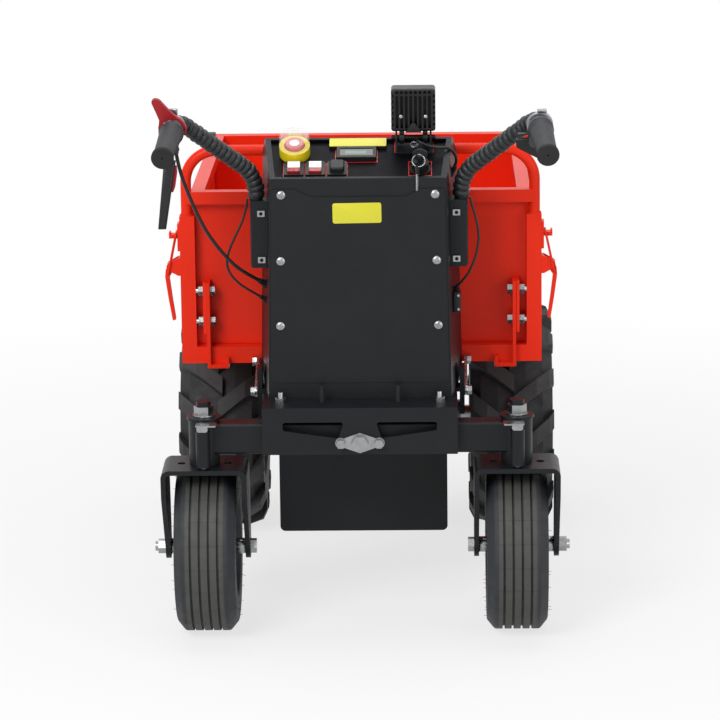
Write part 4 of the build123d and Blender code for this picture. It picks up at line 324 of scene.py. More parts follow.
finishes = {
    "redPaint": look(colour=(0.79, 0.026, 0.007), mottle=0.05, mottleScale=6.0, grainScale=520.0, waveScale=180.0,
                     rough=0.32, roughSpread=0.02, bump=0.015, specular=0.14, scuff=0.02,
                     scuffColour=(0.45, 0.04, 0.02), dust=0.0),
    "blackPaint": look(colour=(0.0072, 0.0085, 0.0106), mottle=0.12, grainScale=1500.0, waveScale=240.0, bump=0.16,
                       bumpDepth=0.0003, specular=0.22, scuff=0.06, scuffColour=(0.05, 0.05, 0.05), dust=0.012),
    "rimPaint": look(colour=(0.30, 0.31, 0.32), mottle=0.08, grainScale=800.0, rough=0.36, metal=0.3, coat=0.2,
                     dust=0.06, scuff=0.15, scuffColour=(0.5, 0.5, 0.5)),
    "zincPlate": look(colour=(0.33, 0.335, 0.34), mottle=0.35, mottleScale=90.0, grainScale=1400.0, waveScale=350.0,
                      rough=0.28, roughSpread=0.1, metal=1.0, bump=0.06, scuff=0.45,
                      scuffColour=(0.13, 0.13, 0.13), dust=0.0),
    "bandAlloy": look(colour=(0.29, 0.30, 0.32), mottle=0.3, mottleScale=80.0, grainScale=1200.0, waveScale=300.0,
                      rough=0.3, metal=0.9, bump=0.1, scuff=0.2, scuffColour=(0.3, 0.3, 0.31), dust=0.0),
    "turnedSteel": look(colour=(0.46, 0.46, 0.47), mottle=0.12, mottleScale=60.0, rough=0.32, metal=1.0,
                        bump=0.06, dust=0.05),
    "castAlloy": look(colour=(0.20, 0.20, 0.21), mottle=0.16, mottleScale=50.0, grainScale=700.0, rough=0.5,
                      metal=0.7, bump=0.3, bumpDepth=0.0005, dust=0.08),
    "perchAlloy": look(colour=(0.045, 0.047, 0.052), mottle=0.16, mottleScale=70.0, grainScale=1000.0, rough=0.36,
                       metal=0.3, bump=0.15, specular=0.35, dust=0.02),
    "gripRubber": look(colour=(0.026, 0.027, 0.032), mottle=0.14, mottleScale=60.0, grainScale=1300.0, rough=0.56,
                       bump=0.35, specular=0.3, dust=0.03, dustScale=30.0),
    "bufferRubber": look(colour=(0.012, 0.012, 0.012), rough=0.7, bump=0.25, specular=0.3),
    "cableSheath": look(colour=(0.008, 0.008, 0.009), mottleScale=90.0, grainScale=1600.0, rough=0.42, bump=0.1,
                        specular=0.35, dust=0.01),
    "loomPlastic": look(colour=(0.016, 0.018, 0.020), mottle=0.2, mottleScale=70.0, grainScale=1400.0, rough=0.42,
                        bump=0.25, bumpDepth=0.0003, specular=0.35, dust=0.02, dustScale=40.0),
    "blackPlastic": look(colour=(0.009, 0.0095, 0.0105), mottleScale=40.0, grainScale=1700.0, bump=0.2,
                         bumpDepth=0.0002, specular=0.3, dust=0.01),
    "panelFilm": look(colour=(0.0024, 0.0026, 0.004), mottleScale=30.0, grainScale=2000.0, rough=0.42, bump=0.02,
                      specular=0.07, dust=0.0),
    "lampCoat": look(colour=(0.005, 0.0055, 0.0065), mottle=0.12, mottleScale=50.0, grainScale=1500.0, rough=0.36,
                     bump=0.15, bumpDepth=0.0003, specular=0.3, dust=0.01),
    "yellowPlastic": look(colour=(0.80, 0.62, 0.010), mottle=0.05, mottleScale=40.0, grainScale=1500.0, rough=0.36,
                          bump=0.05, specular=0.3, dust=0.0),
    "crimsonPlastic": look(colour=(0.33, 0.012, 0.018), mottle=0.12, mottleScale=45.0, grainScale=1500.0,
                           rough=0.36, bump=0.12, specular=0.25, dust=0.0),
    "labelFilm": look(colour=(0.64, 0.60, 0.018), mottle=0.03, mottleScale=30.0, grainScale=1800.0, rough=0.34,
                      bump=0.03, coat=0.25, dust=0.0),
    "lineInk": look(colour=(0.62, 0.012, 0.016), mottle=0.08, mottleScale=60.0, grainScale=1800.0, bump=0.03,
                    dust=0.0),
    "batteryCase": look(colour=(0.05, 0.05, 0.06), rough=0.5, bump=0.2),
    "weldRed": look(colour=(0.74, 0.025, 0.007), mottle=0.12, mottleScale=120.0, grainScale=600.0, rough=0.34,
                    bump=0.3, specular=0.14, dust=0.0),
}

# tyre rubber: dusty tread face, dark walls, painted shade in the grooves and on the shoulders, and fine mould lines
tyres = {
    "caster": {"axle": (machine["casterAxleY"], machine["casterAxleZ"]), "wearAndShade": (0.1325, 0.1365),
               "tread": (0.051, 0.052, 0.048), "wall": (0.014, 0.0155, 0.020), "lines": 22, "lineWidth": 0.022,
               "middle": machine["kingpinX"], "shoulder": (0.0295, 0.0325)},
    "drive": {"axle": (machine["driveAxleY"], machine["driveAxleZ"]), "wearAndShade": (0.184, 0.197),
              "tread": (0.034, 0.034, 0.036), "wall": (0.011, 0.012, 0.014), "lines": 28, "lineWidth": 0.012,
              "middle": machine["driveX"], "shoulder": (0.074, 0.076)},
}
tyreLook = look(mottle=0.16, mottleScale=40.0, rough=0.68, roughSpread=0.08, bump=0.3, bumpDepth=0.0005, dust=0.07,
                dustScale=26.0, dustColour=(0.16, 0.15, 0.13))
mouldLine = {"colour": (0.012, 0.012, 0.012), "strength": 0.75}


def makeTyreRubber(name, tyre):
    def tint(tree, coords):
        y, z = tyre["axle"]
        spoke = mapped(tree, coords, location=(0, -y, -z), scale=(0, 1, 1))
        # the tread face is lighter from wear; nearer the axle (the grooves) and past the shoulders, the dark wall
        # colour is painted shade
        wearAndShade = rangeNode(tree, lengthNode(tree, spoke), *tyre["wearAndShade"])
        across = mathNode(tree, "ABSOLUTE", splitNode(tree, coords)["X"])
        off = mathNode(tree, "ABSOLUTE", mathNode(tree, "SUBTRACT", across, tyre["middle"]))
        wearAndShade = mathNode(tree, "MULTIPLY", wearAndShade, rangeNode(tree, off, *tyre["shoulder"], 1.0, 0.0))
        colour = mixColour(tree, wearAndShade, tyre["wall"], tyre["tread"])
        parts = splitNode(tree, spoke)
        turn = mathNode(tree, "ARCTAN2", parts["Z"], parts["Y"])
        step = mathNode(tree, "FRACT", mathNode(tree, "MULTIPLY", turn, tyre["lines"] / (2 * math.pi)))
        line = mathNode(tree, "LESS_THAN", step, tyre["lineWidth"])
        return mixColour(tree, mathNode(tree, "MULTIPLY", line, mouldLine["strength"]), colour, mouldLine["colour"])

    return finishMaterial(name, tyreLook, tint)


# colours that change across a fitting on the control panel; the white disc in the middle of the stop button is a
# painted highlight
rockerLook = {"edge": -0.0265, "red": (0.34, 0.012, 0.018), "white": (0.84, 0.78, 0.77)}
buttonLook = {"u": -0.1035, "v": 0.0185, "highlightR": 0.008, "red": (0.56, 0.016, 0.018), "white": (0.82, 0.78, 0.76)}
displayLook = {"u": -0.003, "v": 0.012, "dark": (0.020, 0.024, 0.024), "green": (0.075, 0.17, 0.10),
               "barFrom": -0.018, "barTo": 0.016, "barHalf": 0.0034}


def panelCoords(tree, coords, u=0.0, v=0.0):
    middle = onPanel(u, v).inverted()
    return mapped(tree, coords, location=middle.to_translation(), rotation=middle.to_euler())


def rockerTint(tree, coords):
    up = splitNode(tree, panelCoords(tree, coords))["Y"]
    over = mathNode(tree, "GREATER_THAN", up, rockerLook["edge"])
    return mixColour(tree, over, rockerLook["red"], rockerLook["white"])


def buttonHighlightTint(tree, coords):
    local = panelCoords(tree, coords, buttonLook["u"], buttonLook["v"])
    radius = lengthNode(tree, mapped(tree, local, scale=(1, 1, 0)))
    # painted highlight: a white disc in the middle of the red button
    inside = mathNode(tree, "LESS_THAN", radius, buttonLook["highlightR"])
    return mixColour(tree, inside, buttonLook["red"], buttonLook["white"])


def displayTint(tree, coords):
    parts = splitNode(tree, panelCoords(tree, coords, displayLook["u"], displayLook["v"]))
    after = mathNode(tree, "GREATER_THAN", parts["X"], displayLook["barFrom"])
    before = mathNode(tree, "LESS_THAN", parts["X"], displayLook["barTo"])
    height = mathNode(tree, "LESS_THAN", mathNode(tree, "ABSOLUTE", parts["Y"]), displayLook["barHalf"])
    bar = mathNode(tree, "MULTIPLY", mathNode(tree, "MULTIPLY", after, before), height)
    return mixColour(tree, bar, displayLook["dark"], displayLook["green"])


glassLook = {"colour": (0.80, 0.82, 0.83), "mottle": 0.02, "mottleScale": 60.0, "grainScale": 1200.0,
             "waveScale": 150.0, "rough": (0.03, 0.09), "bump": 0.02, "bumpDepth": 0.0002, "alpha": 0.12}


def makeClearCap():
    material, tree, coords, shader = startMaterial("clearCap")
    colour = useEffect(tree, "mottle", coords, Colour=glassLook["colour"], Scale=glassLook["mottleScale"],
                       Amount=glassLook["mottle"])[0]
    feed(tree, colour, shader.inputs["Base Color"])
    grain = useEffect(tree, "grain", coords, Scale=glassLook["grainScale"], Wave=glassLook["waveScale"])
    feed(tree, rangeNode(tree, grain["Spread"], *noiseSpan, *glassLook["rough"]), shader.inputs["Roughness"])
    addBump(tree, grain["Height"], shader, glassLook["bump"], glassLook["bumpDepth"])
    shader.inputs["Alpha"].default_value = glassLook["alpha"]
    return material


switchLook = look(rough=0.26, coat=0.3, bump=0.03, dust=0.0)
screenLook = look(rough=0.12, coat=0.5, bump=0.01, dust=0.0)
materials = {name: finishMaterial(name, values) for name, values in finishes.items()}
for name, values in tyres.items():
    materials[f"{name}Rubber"] = makeTyreRubber(f"{name}Rubber", values)
materials["rockerPlastic"] = finishMaterial("rockerPlastic", switchLook, rockerTint)
materials["buttonPlastic"] = finishMaterial("buttonPlastic", switchLook, buttonHighlightTint)
materials["displayGlass"] = finishMaterial("displayGlass", screenLook, displayTint)
materials["clearCap"] = makeClearCap()
print("materials:", len(materials))

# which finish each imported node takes
dressing = {
    "redPaint": ["tray_floor", "tray_end_walls", "tray_side_walls", "corner_posts", "rear_hoop",
                 "hanger_brackets", "latch_bases", "latch_lever_left", "latch_lever_right", "latch_bail_left",
                 "latch_bail_right"],
    "blackPaint": ["chassis_frame", "belly_guard", "rear_axle_beam", "caster_fork_left", "caster_fork_right",
                   "control_box", "rear_cover", "handle_brackets", "handle_bars", "lamp_bracket"],
    "casterRubber": ["caster_tyre_left", "caster_tyre_right"],
    "driveRubber": ["drive_tyre_left", "drive_tyre_right"],
    "rimPaint": ["caster_rim_left", "caster_rim_right", "drive_rim_left", "drive_rim_right"],
    "zincPlate": ["axle_pivot_bolt", "caster_axle_left", "caster_axle_right", "lock_plunger_left",
                  "lock_plunger_right", "tray_bolts", "chassis_hardware"],
    "turnedSteel": ["drive_shaft_left", "drive_shaft_right"],
    "castAlloy": ["transaxle"],
    "bufferRubber": ["axle_buffers"],
    "cableSheath": ["control_cables"],
    "blackPlastic": ["switch_bezels", "battery_display", "key_switch", "ignition_key", "brake_lever",
                     "throttle_lever"],
    "panelFilm": ["control_panel"],
    "yellowPlastic": ["estop_base"],
    "buttonPlastic": ["estop_button"],
    "crimsonPlastic": ["parking_lever"],
    "rockerPlastic": ["rocker_left", "rocker_right"],
    "clearCap": ["estop_cover"],
    "lampCoat": ["work_lamp"],
    "batteryCase": ["batteries_and_controller"],
}
for finish, names in dressing.items():
    for nodeName in names:
        nodes[nodeName].data.materials.clear()
        nodes[nodeName].data.materials.append(materials[finish])
print("nodes dressed:", sum(len(names) for names in dressing.values()))

# mesh helpers: a piece is a list of shapes with their places, each shape a bmesh that is turned outwards first
mergeGap = 1e-7


def makePiece(name, shapes, finish, body, replaced=None, sharp=35.0):
    bm = bmesh.new()
    for shape, place in shapes:
        bmesh.ops.remove_doubles(shape, verts=shape.verts, dist=mergeGap)
        bmesh.ops.recalc_face_normals(shape, faces=shape.faces)
        bmesh.ops.transform(shape, matrix=place, verts=shape.verts)
        holder = bpy.data.meshes.new("holder")
        shape.to_mesh(holder)
        shape.free()
        bm.from_mesh(holder)
        bpy.data.meshes.remove(holder)
    mesh = bpy.data.meshes.new(name)
    bm.to_mesh(mesh)
    bm.free()
    mesh.materials.append(materials[finish])
    piece = bpy.data.objects.new(name, mesh)
    scene.collection.objects.link(piece)
    mesh.shade_smooth()
    mesh.set_sharp_from_angle(angle=math.radians(sharp))
    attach(piece, body)
    if replaced:
        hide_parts(replaced)


def spunShape(profile, steps, closed=False):
    bm = bmesh.new()
    verts = [bm.verts.new((r, 0, z)) for r, z in profile]
    ends = verts[1:] + verts[:1] if closed else verts[1:]
    edges = [bm.edges.new(run) for run in zip(verts, ends)]
    bmesh.ops.spin(bm, geom=verts + edges, cent=(0, 0, 0), axis=(0, 0, 1), angle=2 * math.pi, steps=steps,
                   use_merge=True)
    bmesh.ops.remove_doubles(bm, verts=bm.verts, dist=mergeGap)
    return bm


def roundSection(radius, wireR, count):
    turns = [2 * math.pi * step / count for step in range(count)]
    return [(radius + wireR * math.cos(turn), wireR * math.sin(turn)) for turn in turns]


def raiseFaces(bm, faces, thick):
    raised = bmesh.ops.extrude_face_region(bm, geom=faces, use_keep_orig=True)
    top = [part for part in raised["geom"] if isinstance(part, bmesh.types.BMVert)]
    bmesh.ops.translate(bm, vec=(0, 0, thick), verts=top)
    return top


def roundEdges(bm, edges, offset, segments=2):
    bmesh.ops.bevel(bm, geom=edges, offset=offset, offset_type="OFFSET", affect="EDGES", segments=segments,
                    profile=0.5, material=-1, clamp_overlap=True)


def roundCorners(bm, offset, segments):
    bmesh.ops.bevel(bm, geom=list(bm.verts), offset=offset, offset_type="OFFSET", affect="VERTICES",
                    segments=segments, profile=0.5, material=-1)


def levelEdges(bm):
    return [edge for edge in bm.edges if abs(edge.verts[0].co.z - edge.verts[1].co.z) < mergeGap]


def blockShape(width, length, height, rounding, segments=2):
    bm = bmesh.new()
    bmesh.ops.create_cube(bm, size=1)
    bmesh.ops.scale(bm, vec=(width, length, height), verts=bm.verts)
    roundEdges(bm, list(bm.edges), rounding, segments)
    return bm


def sheetShape(width, length):
    bm = bmesh.new()
    bmesh.ops.create_grid(bm, x_segments=1, y_segments=1, size=0.5)
    bmesh.ops.scale(bm, vec=(width, length, 1), verts=bm.verts)
    return bm


def plateShape(width, length, corner, thick, edgeRound=0.0):
    bm = sheetShape(width, length)
    roundCorners(bm, corner, 6)
    top = raiseFaces(bm, list(bm.faces), thick)
    if edgeRound:
        rim = [edge for edge in bm.edges if all(vert in top for vert in edge.verts)]
        roundEdges(bm, rim, edgeRound)
    return bm


# a flat outline given by a few corners, raised to a thickness and rounded all round
def outlineShape(points, thick, corner, edgeRound, segments=3):
    bm = bmesh.new()
    bm.faces.new([bm.verts.new((x, y, 0)) for x, y in points])
    roundCorners(bm, corner, 5)
    raiseFaces(bm, list(bm.faces), thick)
    bmesh.ops.translate(bm, vec=(0, 0, -thick / 2), verts=bm.verts)
    roundEdges(bm, levelEdges(bm), edgeRound, segments)
    return bm


def pointing(spot, heading):
    turn = Vector((0, 0, 1)).rotation_difference(Vector(heading)).to_matrix().to_4x4()
    return Matrix.Translation(spot) @ turn


def facing(spot, across, out):
    side = Vector(across).normalized()
    normal = Vector(out).normalized()
    turn = Matrix((side, normal.cross(side), normal)).transposed().to_4x4()
    return Matrix.Translation(spot) @ turn


def facingRear(spot):
    return facing(spot, (1, 0, 0), (0, -1, 0))


def facingFront(spot):
    return facing(spot, (-1, 0, 0), (0, 1, 0))


def atRear(x, y, z):
    return Vector((x, machine["kingpinY"] + y, z))


# cables to the box: the source's route points in metres, with y counted from the kingpins
cables = {
    "brakeCable": {
        "radius": 0.003, "length": 0.3244,
        "route": [(-0.290, -0.020, 0.829), (-0.287, -0.012, 0.797), (-0.273, 0.0, 0.747), (-0.249, 0.028, 0.680),
                  (-0.220, 0.054, 0.632), (-0.191, 0.075, 0.598), (-0.152, 0.097, 0.573)],
    },
    "leftSwitchCable": {
        "radius": 0.002, "length": 0.2138,
        "route": [(-0.181, 0.086, 0.7195), (-0.186, 0.085, 0.690), (-0.201, 0.082, 0.660), (-0.214, 0.080, 0.632),
                  (-0.218, 0.080, 0.608), (-0.207, 0.082, 0.586), (-0.184, 0.088, 0.566), (-0.150, 0.097, 0.545)],
    },
    "rightSwitchCable": {
        "radius": 0.002, "length": 0.1778,
        "route": [(0.181, 0.086, 0.7195), (0.189, 0.084, 0.692), (0.196, 0.082, 0.660), (0.193, 0.081, 0.630),
                  (0.184, 0.083, 0.603), (0.171, 0.088, 0.580), (0.150, 0.096, 0.558)],
    },
    "lampCable": {
        "radius": 0.0026, "length": 0.1210,
        "route": [(0.094, 0.1021, 0.813), (0.097, 0.090, 0.811), (0.112, 0.089, 0.8035), (0.130, 0.093, 0.799),
                  (0.146, 0.099, 0.7985), (0.158, 0.107, 0.787), (0.161, 0.113, 0.768), (0.148, 0.115, 0.750)],
    },
}


def makeCable(name, cable):
    points = [atRear(*spot) for spot in cable["route"]]
    curve = bpy.data.curves.new(name, "CURVE")
    curve.dimensions = "3D"
    curve.bevel_depth = cable["radius"]
    curve.bevel_resolution = 4
    curve.resolution_u = 16
    curve.use_fill_caps = True
    spline = curve.splines.new("NURBS")
    spline.points.add(len(points) - 1)
    for point, spot in zip(spline.points, points):
        point.co = (*spot, 1)
    spline.order_u = 3
    spline.use_endpoint_u = True
    curve.materials.append(materials["cableSheath"])
    piece = bpy.data.objects.new(name, curve)
    scene.collection.objects.link(piece)
    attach(piece, "chassis")
    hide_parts("control_cables")


for cableName, cableValues in cables.items():
    makeCable(cableName, cableValues)
print("cables done:", len(cables))

# ribbed gland where a cable enters the box, barrel at the brake lever's end, and the block on the right wall
gland = {"length": 0.018, "boreShare": 0.97, "tip": 0.0008, "ribs": 4, "ribFrom": 0.001, "ribPitch": 0.0023,
         "ribRise": 0.0014, "ribGrow": 0.0003, "ribDrop": 0.0006, "ribEnds": (0.0013, 0.0015, 0.0021), "neck": 0.003,
         "neckLength": 0.003, "nut": 0.0044, "nutLength": 0.005, "nutEase": 0.0005, "sunk": 0.001, "steps": 20}
barrel = {"radius": 0.0048, "bore": 0.0028, "neckDrop": 0.0012, "neckFrom": -0.005, "neckTo": -0.0005,
          "length": 0.016, "plain": 0.004, "ridges": 5, "groove": 0.0007, "ridgeEnds": (0.6, 0.75, 0.9),
          "tipDrop": 0.0008, "tipLength": 0.003, "tipR": 0.0034, "steps": 20}
inlet = {"out": 0.012, "sunk": 0.002, "y": 0.090, "z": 0.545, "length": 0.030, "height": 0.034, "round": 0.003}
inletWall = boxHalfWidth(machine["kingpinY"] + inlet["y"], inlet["z"])


def glandShape(wireR):
    tail = -gland["length"]
    bore = wireR * gland["boreShare"]
    profile = [(bore, tail), (wireR + gland["tip"], tail)]
    flat, fall, floor = gland["ribEnds"]
    for rib in range(gland["ribs"]):
        at = tail + gland["ribFrom"] + rib * gland["ribPitch"]
        peak = wireR + gland["ribRise"] + gland["ribGrow"] * rib
        valley = peak - gland["ribDrop"]
        profile += [(peak, at), (peak, at + flat), (valley, at + fall), (valley, at + floor)]
    neck = wireR + gland["neck"]
    nut = wireR + gland["nut"]
    ease = gland["nutEase"]
    back = -gland["nutLength"]
    profile += [(neck, back - gland["neckLength"]), (neck, back), (nut - ease, back), (nut, back + ease),
                (nut, gland["sunk"]), (bore, gland["sunk"])]
    return spunShape(profile, gland["steps"], closed=True)


def barrelShape():
    peak = barrel["radius"]
    neck = peak - barrel["neckDrop"]
    valley = peak - barrel["groove"]
    end = barrel["length"]
    profile = [(barrel["bore"], barrel["neckFrom"]), (neck, barrel["neckFrom"]), (neck, barrel["neckTo"]),
               (peak, 0.0)]
    pitch = (end - barrel["plain"]) / barrel["ridges"]
    flat, fall, floor = barrel["ridgeEnds"]
    for step in range(barrel["ridges"]):
        profile += [(peak, (step + flat) * pitch), (valley, (step + fall) * pitch), (valley, (step + floor) * pitch),
                    (peak, (step + 1) * pitch)]
    profile += [(peak - barrel["tipDrop"], end - barrel["tipLength"]), (barrel["tipR"], end), (barrel["bore"], end)]
    return spunShape(profile, barrel["steps"], closed=True)


def makeCableEnds():
    shapes = []
    for cable in cables.values():
        before, last = (atRear(*spot) for spot in cable["route"][-2:])
        shapes.append((glandShape(cable["radius"]), pointing(last, last - before)))
    first, after = (atRear(*spot) for spot in cables["brakeCable"]["route"][:2])
    shapes.append((barrelShape(), pointing(first, after - first)))
    block = blockShape(inlet["out"] + inlet["sunk"], inlet["length"], inlet["height"], inlet["round"], 3)
    middle = inletWall + (inlet["out"] - inlet["sunk"]) / 2
    shapes.append((block, Matrix.Translation(atRear(middle, inlet["y"], inlet["z"]))))
    makePiece("cableGlands", shapes, "blackPlastic", "chassis", "control_cables")


makeCableEnds()
print("cable glands done")

# handlebar line, which the sleeves, grips and perches follow
bar = {
    "radius": 0.011,
    "points": [(0.167, 0.090, 0.606), (0.167, 0.090, 0.757), (0.289, 0.012, 0.864), (0.3005, -0.148, 0.832)],
    "bends": [0.060, 0.042],
}


def barLine(sign):
    points = [atRear(sign * x, y, z) for x, y, z in bar["points"]]
    runs = []
    here = points[0]
    for before, corner, after, radius in zip(points, points[1:], points[2:], bar["bends"]):
        into = (corner - before).normalized()
        out = (after - corner).normalized()
        turn = into.angle(out)
        cut = radius * math.tan(turn / 2)
        start = corner - into * cut
        axis = into.cross(out).normalized()
        centre = start + axis.cross(into) * radius
        runs.append(("straight", (start - here).length, here, into, None, None))
        runs.append(("bend", radius * turn, start, into, centre, axis))
        here = corner + out * cut
    runs.append(("straight", (points[-1] - here).length, here, out, None, None))
    return runs


def alongBar(runs, distance):
    for place, (kind, length, start, heading, centre, axis) in enumerate(runs):
        if distance <= length or place == len(runs) - 1:
            if kind == "straight":
                return start + heading * distance, heading
            turn = Matrix.Rotation(distance / (start - centre).length, 3, axis)
            return centre + turn @ (start - centre), turn @ heading
        distance -= length


def barLength(runs):
    return sum(run[1] for run in runs)


def backFromEnd(sign, back):
    runs = barLine(sign)
    return alongBar(runs, barLength(runs) - back)


# sleeve over each bar from its saddle to its perch: soft ribs, a few of them squeezed
loom = {"start": 0.114, "endGap": 0.1335, "ribs": 22, "peak": 0.0146, "valley": 0.0120, "bore": 0.0111, "steps": 28,
        "squeeze": 0.0005, "squeezeTurn": 2.3,
        "swell": ((0.02, 0.0), (0.16, 0.12), (0.3, 0.72), (0.45, 0.97), (0.6, 1.0), (0.75, 0.97), (0.88, 0.7))}


def sleeveShape(sign):
    runs = barLine(sign)
    pitch = (barLength(runs) - loom["endGap"] - loom["start"]) / loom["ribs"]
    outer = []
    inner = []
    for rib in range(loom["ribs"]):
        squeeze = loom["squeeze"] * math.sin(loom["squeezeTurn"] * rib + sign)
        for part, share in loom["swell"]:
            depth = share * (loom["peak"] - loom["valley"] + squeeze - loom["squeeze"])
            outer.append((loom["valley"] + depth, (rib + part) * pitch))
        inner.append((loom["bore"], rib * pitch))
    outer.append((loom["valley"], loom["ribs"] * pitch))
    inner.append((loom["bore"], loom["ribs"] * pitch))
    sleeve = spunShape(outer + inner[::-1], loom["steps"], closed=True)
    for vert in sleeve.verts:
        spot, heading = alongBar(runs, loom["start"] + vert.co.z)
        turn = Vector((0, 0, 1)).rotation_difference(heading)
        vert.co = spot + turn @ Vector((vert.co.x, vert.co.y, 0))
    return sleeve


def makeLooms():
    sleeves = [(sleeveShape(sign), Matrix()) for sign in bothSides]
    makePiece("loomSleeves", sleeves, "loomPlastic", "chassis", "handle_looms", sharp=50.0)


makeLooms()
print("loom sleeves done")

# grips: a sleeve that swells towards its collar, and a darker skin over its end
grip = {"radius": 0.016, "length": 0.106, "cap": 0.004, "flangeR": 0.0175, "flangeW": 0.007, "flangeFoot": 0.0003,
        "collarR": 0.020, "collarW": 0.007, "collarGap": 0.003, "collarEase": 0.4, "holeR": 0.0018,
        "holeDepth": 0.0035, "holeEase": 0.0006, "holeLip": 0.0004, "swell": 0.0026, "swellPower": 1.6, "parts": 10,
        "fit": 0.0001, "steps": 48, "ease": 0.0015, "skin": 0.0004, "skinLift": 0.0003}
# how far the middle of a rounded edge is drawn in, as a share of its ease
easeShare = 0.3


def gripProfile():
    ease = grip["ease"]
    foot = -grip["flangeW"]
    end = -grip["length"] - grip["cap"]
    collar = end + grip["collarW"]
    profile = [
        (0.0, -grip["holeDepth"]), (grip["holeR"], -grip["holeDepth"]), (grip["holeR"], -grip["holeLip"]),
        (grip["holeR"] + grip["holeEase"], 0.0), (grip["flangeR"] - ease, 0.0),
        (grip["flangeR"] - easeShare * ease, -easeShare * ease), (grip["flangeR"], -ease),
        (grip["flangeR"], foot + ease), (grip["radius"] + grip["flangeFoot"], foot),
    ]
    sleeve = foot - collar - grip["collarGap"]
    for part in range(1, grip["parts"] + 1):
        share = part / grip["parts"]
        profile.append((grip["radius"] + grip["swell"] * share ** grip["swellPower"], foot - sleeve * share))
    bore = bar["radius"] + grip["fit"]
    inside = -grip["cap"] - grip["fit"]
    profile += [
        (grip["collarR"] - grip["collarEase"] * ease, collar), (grip["collarR"], collar - ease),
        (grip["collarR"], end + ease), (grip["collarR"] - ease, end), (bore, end), (bore, inside), (0.0, inside),
    ]
    return profile


def skinProfile():
    ease = grip["ease"]
    foot = -grip["flangeW"]
    hole = grip["holeR"] + grip["holeEase"]
    rim = grip["flangeR"] + grip["skin"]
    return [(hole, foot), (rim, foot), (rim, -ease), (rim - easeShare * ease, -easeShare * ease),
            (rim - ease, grip["skinLift"]), (hole, grip["skinLift"])]


def makeGrips():
    sleeves = []
    ends = []
    for sign in bothSides:
        end, heading = backFromEnd(sign, 0.0)
        place = pointing(end + heading * grip["cap"], heading)
        sleeves.append((spunShape(gripProfile(), grip["steps"]), place))
        ends.append((spunShape(skinProfile(), grip["steps"], closed=True), place))
    makePiece("gripSleeves", sleeves, "gripRubber", "chassis", "handle_grips")
    makePiece("gripEnds", ends, "bufferRubber", "chassis", "handle_grips")


makeGrips()
print("grips done")

# frames on the bars, with x across the machine and z along the bar to the grip; the perches' by default
perch = {"seat": 0.120, "halfW": 0.012, "leftR": 0.0135, "rightR": 0.017}


def perchFrame(sign, back=perch["seat"]):
    spot, heading = backFromEnd(sign, back)
    across = Vector((1, 0, 0)) - heading * heading.x
    return facing(spot, across, heading)


# parking lever: an arch over the left bar, with two feet and a swept blade
parking = {"inner": 0.018, "outer": 0.0225, "width": 0.008, "footHalf": 0.0065, "round": 0.0012, "steps": 28,
           "sharp": 0.6, "crown": 0.0022, "bladeThick": 0.0078, "bladeCorner": 0.0009,
           "blade": [(-0.0223, 0.0), (-0.0205, 0.0165), (-0.0255, 0.030), (-0.0314, 0.0445), (-0.0318, 0.0480),
                     (-0.0302, 0.0506), (-0.0266, 0.0518), (-0.0226, 0.0513), (-0.0188, 0.0494), (-0.0060, 0.0345),
                     (0.0050, 0.0240), (0.0160, 0.0155), (0.0100, 0.0165),
                     (-0.0040, 0.0185), (-0.0140, 0.0118), (-0.0180, 0.0)]}


def archShape():
    half = parking["width"] / 2
    section = ((parking["inner"], -half), (parking["outer"], -half), (parking["outer"], half),
               (parking["inner"], half))
    arch = bmesh.new()
    corners = [arch.verts.new((r, 0, z)) for r, z in section]
    edges = [arch.edges.new(run) for run in zip(corners, corners[1:] + corners[:1])]
    bmesh.ops.spin(arch, geom=corners + edges, cent=(0, 0, 0), axis=(0, 0, 1), angle=math.pi,
                   steps=parking["steps"])
    bmesh.ops.holes_fill(arch, edges=[edge for edge in arch.edges if edge.is_boundary], sides=4)
    bmesh.ops.recalc_face_normals(arch, faces=arch.faces)
    sharp = [edge for edge in arch.edges if len(edge.link_faces) == 2 and edge.calc_face_angle() > parking["sharp"]]
    roundEdges(arch, sharp, parking["round"])
    return arch


def makeParkingLever():
    place = perchFrame(leftSide)
    shapes = [(archShape(), place)]
    middle = (parking["inner"] + parking["outer"]) / 2
    wall = parking["outer"] - parking["inner"]
    for sign in bothSides:
        foot = blockShape(wall, 2 * parking["footHalf"], parking["width"], parking["round"])
        shapes.append((foot, place @ Matrix.Translation((sign * middle, 0, 0))))
    blade = outlineShape(parking["blade"], parking["bladeThick"], parking["bladeCorner"], parking["crown"], 4)
    shapes.append((blade, place))
    makePiece("parkingBlade", shapes, "crimsonPlastic", "parking_lever", "parking_lever", sharp=40.0)


makeParkingLever()
print("parking lever done")

# red lock tab behind the root of the brake blade
lockTab = {"x": -0.2925, "y": -0.0375, "thick": 0.005, "corner": 0.0014, "crown": 0.0014,
           "outline": [(-0.0035, 0.7985), (0.0062, 0.7990), (0.0068, 0.7880), (0.0030, 0.7640), (-0.0005, 0.7552),
                       (-0.0060, 0.7560), (-0.0058, 0.7720)]}


def makeLockTab():
    tab = outlineShape(lockTab["outline"], lockTab["thick"], lockTab["corner"], lockTab["crown"])
    place = Matrix.Translation(atRear(lockTab["x"], lockTab["y"], 0)) @ turned(90, "X")
    makePiece("brakeLockTab", [(tab, place)], "crimsonPlastic", "brake_lever", sharp=40.0)


makeLockTab()
print("brake lock tab done")

